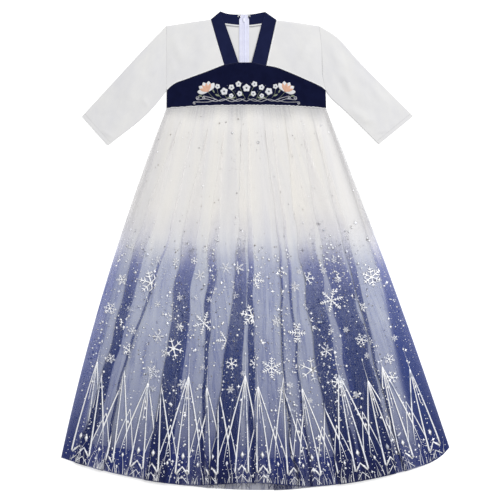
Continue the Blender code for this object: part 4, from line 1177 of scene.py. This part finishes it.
# each thread's dark and light tone, pitch, roughness, metal and sheen
sprayThreads = {
    "whiteThread": ((0.66, 0.67, 0.70), (0.86, 0.86, 0.88), 0.55, 0.5, 0, 0.3),
    "peachThread": ((0.62, 0.30, 0.19), (0.80, 0.52, 0.38), 0.55, 0.5, 0, 0.3),
    "sageThread": ((0.16, 0.20, 0.12), (0.36, 0.40, 0.28), 0.45),
    "greyThread": ((0.16, 0.18, 0.20), (0.34, 0.36, 0.38), 0.4),
    "silverThread": ((0.46, 0.46, 0.50), (0.86, 0.86, 0.90), 0.5, 0.4, 0.5),
}
# x and y from the centre and the radius
blossoms = ((0, 9, 9), (17.5, 17.5, 6.8), (15, -3.5, 6.4), (33, 10.5, 6.8), (33.5, -8, 5.6), (49, 1.5, 8.6),
            (63.5, 12.5, 6))
# x and y of the foot, heading in degrees and length
leaves = ((24, -10.5, -25, 10), (42, -11, 200, 9), (59, -9, 24, 11), (70, -2, 60, 9), (96, -9.5, 12, 10),
          (6, -8, 35, 8))
seeds = ((9, 20), (25, 2), (42, 14.5), (56, -4.5), (73, 6), (104, -9), (110, -12))
# the points of the line, the radius of the curl and its turns
scrolls = (
    (((0, -20), (14, -15), (31, -21), (50, -15.5), (68, -20.5), (88, -15), (106, -17)), 4.2, 1.3),
    (((4, -14.5), (20, -20), (38, -14), (56, -19.5), (74, -13.5), (92, -9)), 3.6, -1.2),
    (((66, -15.5), (80, -21), (97, -22), (114, -21.5)), 3, -1.1),
)
twigs = (((2, -15), (8, -4), (15, 11)), ((22, -15), (26, -4), (33, 5)), ((40, -15), (46, -9), (49, -5)),
         ((55, -14), (62, -3), (64, 8)), ((70, -14), (78, -7), (84, 0)))


def threadMaterial(name, dark, light, pitch, roughness=0.5, metallic=0, sheen=0):
    # strands side by side: a sine across the uv map in the bump, tone by strand and by length
    material, tree, shader = newMaterial(name, roughness, metallic, Sheen_Weight=sheen)
    cloth = clothMap(tree)
    across = mathNode(tree, "MULTIPLY", partOf(tree, cloth, 0), 2 * np.pi / (pitch * mm))
    paint(tree, shader, mottled(tree, stretched(tree, cloth, 0.15), 900), dark, light)
    bumpFrom(tree, shader, mathNode(tree, "SINE", across), 0.12)
    return material


def onYoke(x, y, rise):
    # places round the spray's centre, on the yoke's upper side
    x, y = x + spray["centre"][0], y + spray["centre"][1]
    return np.stack([x, y, yokeHeight(x, y) + bodice["bandWall"] / 2 + rise], axis=-1)


def cushions(feet, headings, lengths, widths, full, tall, chevron=0):
    # petals as closed lens sections along a line from the foot: half width is the full width
    # times the sine of pi times the share to the power "full"; the underside is nearly flat
    stations, around = 9, 10
    u = np.linspace(0.02, 0.985, stations)[:, None]
    turn = np.arange(around) * 2 * np.pi / around
    x, y, heading, length, width = (row[:, None, None] for row in np.broadcast_arrays(
        *np.transpose(feet), headings, lengths, widths))
    bulge = np.sin(np.pi * u**full)
    across, along = width / 2 * bulge**0.8 * np.cos(turn), length * u + 0 * turn
    rise = tall * bulge**0.5 * np.maximum(np.sin(turn), 0) + 0.1 * np.minimum(np.sin(turn), 0)
    points = onYoke(x + along * np.cos(heading) - across * np.sin(heading),
                    y + along * np.sin(heading) + across * np.cos(heading), rise)
    quads, caps = ringFaces(points.shape[:3])
    stitched = np.stack([across + chevron * along * np.sign(across), along], axis=-1)
    ahead = np.roll(stitched, -1, axis=2)
    uv = np.stack([stitched[:, :-1], stitched[:, 1:], ahead[:, 1:], ahead[:, :-1]], axis=-2)
    faceGroups = [np.roll(quads[:, ::-1], 1, axis=1), caps[:, ::-1]]
    return points.reshape(-1, 3), faceGroups, [uv.reshape(-1, 2), plainUv(faceGroups)[1]]


def knotParts(places, radius, tall=0.95):
    # small round stitches: a half ball of rings
    angle = np.arange(8) * np.pi / 4
    share, high = np.transpose([(1, 0), (0.95, 0.35), (0.6, 0.85), (0.05, 1)])[..., None]
    x, y = np.transpose(places)[..., None, None]
    points = onYoke(x + radius * share * np.cos(angle), y + radius * share * np.sin(angle), tall * high)
    faceGroups = ringFaces(points.shape[:3])
    return points.reshape(-1, 3), faceGroups, plainUv(faceGroups)


def bothSides(rows):
    # each row, and its mirror image unless it stands on the middle line
    rows = np.array(rows, float)
    mirrored = rows[rows[:, 0] != 0]
    mirrored[:, 0] *= -1
    return rows, mirrored


def blossomParts():
    # five round petals from just outside the heart, and knots round the heart
    petals, knots = [], []
    for rows in bothSides(blossoms):
        for number, (x, y, radius) in enumerate(rows):
            turn = 0.35 * number + np.arange(5) * 2 * np.pi / 5 + np.pi / 2
            feet = np.column_stack([x + 0.16 * radius * np.cos(turn), y + 0.16 * radius * np.sin(turn)])
            petals.append(cushions(feet, turn, 0.84 * radius, 0.98 * radius, 0.85, spray["cushion"]))
            turn = np.arange(7 if radius > 8 else 6) * np.pi / 3
            knots += [*zip(x + 0.20 * radius * np.cos(turn), y + 0.20 * radius * np.sin(turn)), (x, y)]
    return petals, knots


def fanParts(count, spread, length, width, rise):
    # a half bloom at each end: petals spread over an arc from one foot
    x, y = spray["fanFoot"]
    turn = np.radians(np.linspace(-spread, spread, count) + spray["fanHeading"])
    return [cushions([(mirror * x, y)], turn if mirror > 0 else np.pi - turn, length, width, 1.35, rise)
            for mirror in (1, -1)]


def scrollPath(points, curl, turns):
    # a smooth line through the points, then a curl whose radius shrinks to a fifth
    line, share = seamCurve(points, 150), np.linspace(0, 1, 60)[1:]
    heading, sense = np.arctan2(*(line[-1] - line[-2])[::-1]), np.sign(turns)
    centre = line[-1] + curl * sense * np.array([-np.sin(heading), np.cos(heading)])
    angle = heading - sense * np.pi / 2 + turns * 2 * np.pi * share
    wound = np.column_stack([np.cos(angle), np.sin(angle)]) * (curl * (1 - 0.8 * share))[:, None]
    return np.vstack([line, centre + wound])


def yokeLines(lines, radius, rise, sides):
    return [tubes(onYoke(mirror * line[:, 0], line[:, 1], rise)[None], radius, sides)
            for line in lines for mirror in (1, -1)]


def buildSpray():
    white, peach, sage, grey, silver = (threadMaterial(name, *look) for name, look in sprayThreads.items())
    petals, hearts = blossomParts()
    detailPiece("stitched_petals", petals + fanParts(5, 62, 24, 12, 0.7), white)
    detailPiece("stitched_fans", fanParts(4, 42, 20, 8, 1.25), peach)
    parts = yokeLines([seamCurve(points, 30) for points in twigs], spray["twigRadius"], 0.2, 6)
    for mirror, rows in zip((1, -1), bothSides(leaves)):
        turn = np.radians(rows[:, 2]) if mirror > 0 else np.pi - np.radians(rows[:, 2])
        parts.append(cushions(rows[:, :2], turn, rows[:, 3], rows[:, 3] * 0.36, 1, 0.6, 0.6))
    detailPiece("stitched_leaves", parts, sage)
    parts = [knotParts(hearts, 0.75), knotParts(np.vstack(bothSides(seeds)), 0.7)]
    detailPiece("stitched_hearts", parts, grey)
    lines = []
    for scroll in scrolls:
        path = scrollPath(*scroll)
        side = unit(np.gradient(path, axis=0)[:, ::-1] * (-1, 1)) * spray["scrollApart"]
        lines += [path + side, path - side]
    detailPiece("stitched_scrolls", yokeLines(lines, spray["scrollRadius"], 0.35, 7), silver)


buildSpray()
print("embroidery stitched")


# Zip, neck fastening and visible sewing

zipParts = {
    "tapeInner": 1.3, "tapeOuter": 10.7, "tapeLevel": 2.2, "tapeWall": 0.5, "belowNeck": 0.8, "tuck": 0.30,
    "coilLevel": 2.5, "coilHalf": (0.74, 0.48), "coilPitch": 1.35, "coilWire": 0.24, "cordRadius": 0.5,
    "sliderY": 506, "sliderLow": 3.6, "sliderThick": 1.2, "sliderSize": (5, 10), "wireRadius": 0.5,
    "wireLevel": 3.35,
}
# each ring's share of the slider's outline and of its height
sliderRings = ((0.02, 0), (0.90, 0), (1, 0.12), (1, 0.75), (0.93, 0.95), (0.78, 1), (0.62, 0.86),
               (0.40, 0.84), (0.30, 0.98), (0.16, 1), (0.02, 1))
# x from the zip, y from the neck, radius, first and last angle, and the count of points
wires = {"eye": (-10.8, -4.6, 2.6, 210, -30, 30), "hook": (10.6, -4, 2.2, -40, 180, 26)}
hookEnd = 4.2
# a stitch is its pitch, length and radius
sewing = {"stitchRise": 0.12, "tapeStitch": (3, 2.3, 0.15), "seamStitch": (2.8, 2.7, 0.5),
          "topStitch": (3.2, 2.5, 0.16), "cuffStitch": (3.4, 2.8, 0.24), "topInset": 2,
          "allowanceWall": 0.35, "allowance": (0.2, 5.6), "loopPitch": 0.45, "loopRadius": 0.2,
          "loopSwing": (2.6, 4.2, 5.9, 5.9, 4.2), "threadLevel": 1.42, "seamDown": 4}
# each piece's material, its dark and light tone and the pitch of its strands
threads = {
    "sewing_white": ("seamThread", (0.62, 0.62, 0.64), (0.80, 0.80, 0.80), 0.2),
    # painted shade: the cuff stitches are grey so that they draw the shade along the hem fold
    "sewing_shaded_hem": ("shadedHemThread", (0.42, 0.42, 0.44), (0.56, 0.56, 0.57), 0.2),
    # painted highlight: the ridges are the white cloth painted much lighter
    "highlit_seam_ridges": ("ridgeHighlight", (0.90, 0.90, 0.92), (0.97, 0.97, 0.97), 0.3),
    "sewing_navy": ("navySeam", (0.006, 0.008, 0.035), (0.016, 0.020, 0.075), 0.2),
    "sewing_grey": ("greySeam", (0.07, 0.07, 0.10), (0.15, 0.15, 0.19), 0.2),
}
zipTopY = neckBackY - zipParts["belowNeck"]


def tapeGrid(away):
    # flat tape with a raised roll beside the coil and a thicker selvedge; its upper end is tucked
    # in, so it narrows towards the neck
    inner = zipParts["tapeInner"]
    x = np.linspace(inner, zipParts["tapeOuter"], 18)[:, None]
    y = np.linspace(zipEndY, zipTopY, 90)[None, :]
    roll = 0.55 * np.exp(-(((x - 2) / 0.9) ** 2)) + 0.12 * np.exp(-(((x - 10.2) / 0.6) ** 2))
    waver = 0.07 * np.sin(y / 4.1 + x) * ease(2.5, 9, x)
    tucked = 1 - zipParts["tuck"] * ease(neckBackY - 11, neckBackY - 6, y)
    x = zipX + away * (inner + (x - inner) * tucked)
    return np.dstack([x, y + 0 * x, zipParts["tapeLevel"] + roll + waver])[:: int(away)]


def coilParts():
    # two helices of nylon wire, one a half turn behind the other, round three sewn cords
    turns = int((zipTopY - zipEndY) / zipParts["coilPitch"])
    angle = np.linspace(0, 2 * np.pi * turns, turns * 12 + 1)
    y = np.linspace(zipEndY, zipTopY, len(angle))
    (wide, tall), high = zipParts["coilHalf"], zipParts["coilLevel"]
    parts = []
    for lag in (0, np.pi):
        path = np.column_stack([zipX + wide * np.cos(angle + lag), y, high + tall * np.sin(angle + lag)])
        parts.append(tubes(path[None], zipParts["coilWire"], 4, (0, 1, 0)))
    for side in (-0.95, 0, 0.95):
        path = np.array([(zipX + side, end, high) for end in (zipEndY, zipTopY)])
        parts.append(tubes(path[None], zipParts["cordRadius"], 6))
    return parts


def sliderParts():
    # rings of one outline, each with its own share of the size and its own height
    width, length = zipParts["sliderSize"]
    angle = np.arange(40) * 2 * np.pi / 40
    x, y = (np.sign(some) * np.abs(some) ** 0.62 for some in (np.cos(angle), np.sin(angle)))
    x = x * width / 2 * (0.86 + 0.14 * ease(-0.8, 0.6, y))
    share, high = np.transpose(sliderRings)[..., None]
    points = np.dstack([zipX + x * share, zipParts["sliderY"] + y * length / 2 * share,
                        zipParts["sliderLow"] + zipParts["sliderThick"] * high + 0 * x])
    faceGroups = ringFaces((1, *points.shape[:2]))
    return points.reshape(-1, 3), faceGroups, plainUv(faceGroups)


def wireArc(x, y, radius, first, last, count):
    angle = np.radians(np.linspace(first, last, count))
    return np.column_stack([zipX + x + radius * np.cos(angle), neckBackY + y + radius * np.sin(angle),
                            np.full(count, zipParts["wireLevel"])])


def stitchLine(route, pitch, length, radius):
    # short arcs of thread at even steps of the route, their ends below the cloth
    along = lengthAlong(route)
    starts = np.arange(pitch / 2, along[-1] - length, pitch)
    paths = readAt(starts[:, None] + np.linspace(0, length, 5), along, route)
    paths[..., 2] += sewing["stitchRise"] * np.array([-1, 0.7, 1, 0.7, -1])
    return tubes(paths, radius, 5)


def insetLine(grid, wall, inset, last):
    # the line on a cloth's upper side at a distance in from its first or its last row
    lines = grid[:, ::-1] if last else grid
    found = np.array([readAt(inset, along, line) for along, line in zip(lengthAlong(lines, 1), lines)])
    return found + (0, 0, wall / 2)


def overlockParts(side):
    # the seam allowance under the band: a strip, its loops of thread and one grey seam line
    low = seamCurve(seams[side]["bandLow"], 70)[:-4]
    (x, y), across = low.T[..., None], np.linspace(*sewing["allowance"], 5)
    strip = np.dstack([x + 0 * across, y - across, 1 + 0.15 * np.sin(across / across[-1] * np.pi) + 0 * x])
    loops = np.linspace(0, 1, int(np.hypot(*(low[-1] - low[0])) / sewing["loopPitch"]))
    path = readAt(loops, np.linspace(0, 1, len(low)), low)
    path[:, 1] -= np.resize(sewing["loopSwing"], len(loops))
    seam = low - (0, sewing["seamDown"])
    path, seam = (np.insert(line, 2, sewing["threadLevel"], axis=1) for line in (path, seam))
    return strip[:: -int(outward[side]), ::-1], path, seam


def smoothMaterial(name, dark, light, scale, roughness, metallic=0.0):
    # nylon, or metal with a little unevenness in its gloss
    material, tree, shader = newMaterial(name, roughness, metallic)
    mask = mottled(tree, objectMap(tree), scale)
    paint(tree, shader, mask, dark, light)
    if metallic:
        tree.links.new(mathNode(tree, "MULTIPLY_ADD", mask, 0.15, roughness), shader.inputs["Roughness"])
    return material


def buildSewing():
    sewn = {name: [] for name in threads}
    for side, away in outward.items():
        clothPiece(f"cloth_zip_tape_{side}", tapeGrid(away), zipParts["tapeWall"], tapeCloth,
                   (f"zip_tape_{side}",))
        for inset in (3.4, 6):
            x, z = zipX + away * (zipParts["tapeInner"] + inset), zipParts["tapeLevel"] + 0.3
            line = np.array([(x, zipEndY, z), (x, neckBackY - 1, z)])
            sewn["sewing_white"].append(stitchLine(line, *sewing["tapeStitch"]))
        strip, loops, seam = overlockParts(side)
        clothPiece(f"cloth_neck_allowance_{side}", strip, sewing["allowanceWall"], whiteCloth)
        sewn["sewing_white"].append(tubes(loops[None], sewing["loopRadius"], 4))
        sewn["sewing_grey"].append(stitchLine(seam, *sewing["seamStitch"]))
        collar, front = collarGrid(side), frontGrid(side)
        sewn["sewing_navy"].append(tubes(collar[:1] + (0, -0.3, 0.1), 0.55, 8))
        for last in (False, True):
            line = insetLine(collar, bodice["bandWall"], sewing["topInset"], last)[:44]
            sewn["sewing_navy"].append(stitchLine(line, *sewing["topStitch"]))
        # grey cuff stitches: painted shade along the hem fold
        line = insetLine(sleeveGrid(side)[31:55], bodice["wall"], bodice["cuffHem"], True)
        sewn["sewing_shaded_hem"].append(stitchLine(line, *sewing["cuffStitch"]))
        # painted highlight: light ridges along the yoke's top edge and along the neck strip's edge
        for edge, inner, inset in ((front[:, 0], front[:, 1], 1.2), (front[0], front[1], 1.6)):
            ridge = edge + unit(inner - edge) * inset - (0, 0, 0.5)
            sewn["highlit_seam_ridges"].append(tubes(ridge[None], 1.35, 10))
        sewn["sewing_white"].append(tubes(front[-1:] + (0.5 * away, 0, -0.2), 0.45, 6))
    for last in (False, True):
        line = insetLine(yokeGrid(), bodice["bandWall"], sewing["topInset"], last)
        sewn["sewing_navy"].append(stitchLine(line, *sewing["topStitch"]))
    # painted highlight: a light ridge along the waist edge
    waist = frontNet[:, 0] + (0, 0.1, 0)
    waist[:, 1] += 0.5 * softNoise(waist[:, 0], 0 * waist[:, 0], 9, 72)
    sewn["highlit_seam_ridges"].append(tubes(waist[None], 0.85, 6))
    for name, parts in sewn.items():
        detailPiece(name, parts, threadMaterial(*threads[name]))


def buildFastenings():
    nylon = smoothMaterial("coilNylon", (0.58, 0.59, 0.74), (0.70, 0.71, 0.84), 500, 0.35)
    detailPiece("coil", coilParts(), nylon, ("zip_coil",))
    cast = smoothMaterial("castSlider", (0.50, 0.51, 0.60), (0.66, 0.67, 0.76), 700, 0.45, 0.6)
    detailPiece("slider", [sliderParts()], cast, ("zip_slider",))
    metal = smoothMaterial("platedWire", (0.88, 0.88, 0.90), (0.98, 0.98, 0.98), 700, 0.35, 0.15)
    for name, arc in wires.items():
        path = wireArc(*arc)
        if name == "hook":
            path = np.vstack([path, path[-1] - (0, hookEnd, 0)])
        wire = tubes(path[None], zipParts["wireRadius"], 8)
        detailPiece(name, [wire], metal, (f"neck_{name}",))


buildSewing()
buildFastenings()
print("zip, fastening and sewing made")


# Camera, light and floor

view = {"mmPerPixel": 2.189, "framePixels": 500, "middlePixel": (255.35, 250.85), "lens": 85, "sensor": 36,
        "planeZ": 0.008}
light = {"room": 0.50, "boxSize": 4, "boxPower": 300, "boxPlace": (2, 2.2, 4.8),
         "floor": (0.96, 0.96, 0.96, 1), "glow": 0.25, "floorHalf": 4000, "floorZ": -0.3}


def buildStage():
    half, pixel = view["framePixels"] / 2, view["mmPerPixel"] * mm
    data = bpy.data.cameras.new("fromAbove")
    data.lens, data.sensor_width = view["lens"], view["sensor"]
    scene.camera = inScene("fromAbove", data)
    middleX, middleY = view["middlePixel"]
    height = view["framePixels"] * pixel * view["lens"] / view["sensor"] + view["planeZ"]
    scene.camera.location = ((half - middleX) * pixel, (middleY - half) * pixel, height)

    far, low = light["floorHalf"], light["floorZ"]
    corners = np.array([(-far, -far, low), (far, -far, low), (far, far, low), (-far, far, low)])
    material, _, _ = newMaterial("paleFloor", 0.9, Base_Color=light["floor"], Emission_Color=light["floor"],
                                 Emission_Strength=light["glow"])
    mesh = meshFrom("table", corners, [np.array([[0, 1, 2, 3]])])
    mesh.materials.append(material)
    table = inScene("table", mesh)

    scene.world = bpy.data.worlds.new("softRoom")
    scene.world.use_nodes = True
    room = scene.world.node_tree.nodes["Background"].inputs
    room["Color"].default_value, room["Strength"].default_value = (1, 1, 1, 1), light["room"]
    lamp = bpy.data.lights.new("softBox", "AREA")
    lamp.shape, lamp.size, lamp.energy = "SQUARE", light["boxSize"], light["boxPower"]
    holder = inScene("softBox", lamp)
    holder.location = light["boxPlace"]
    holder.rotation_euler = Vector(light["boxPlace"]).to_track_quat("Z", "Y").to_euler()
    scene.view_settings.view_transform = "Standard"
    scene.cycles.transparent_max_bounces = 40


buildStage()
print("stage made")
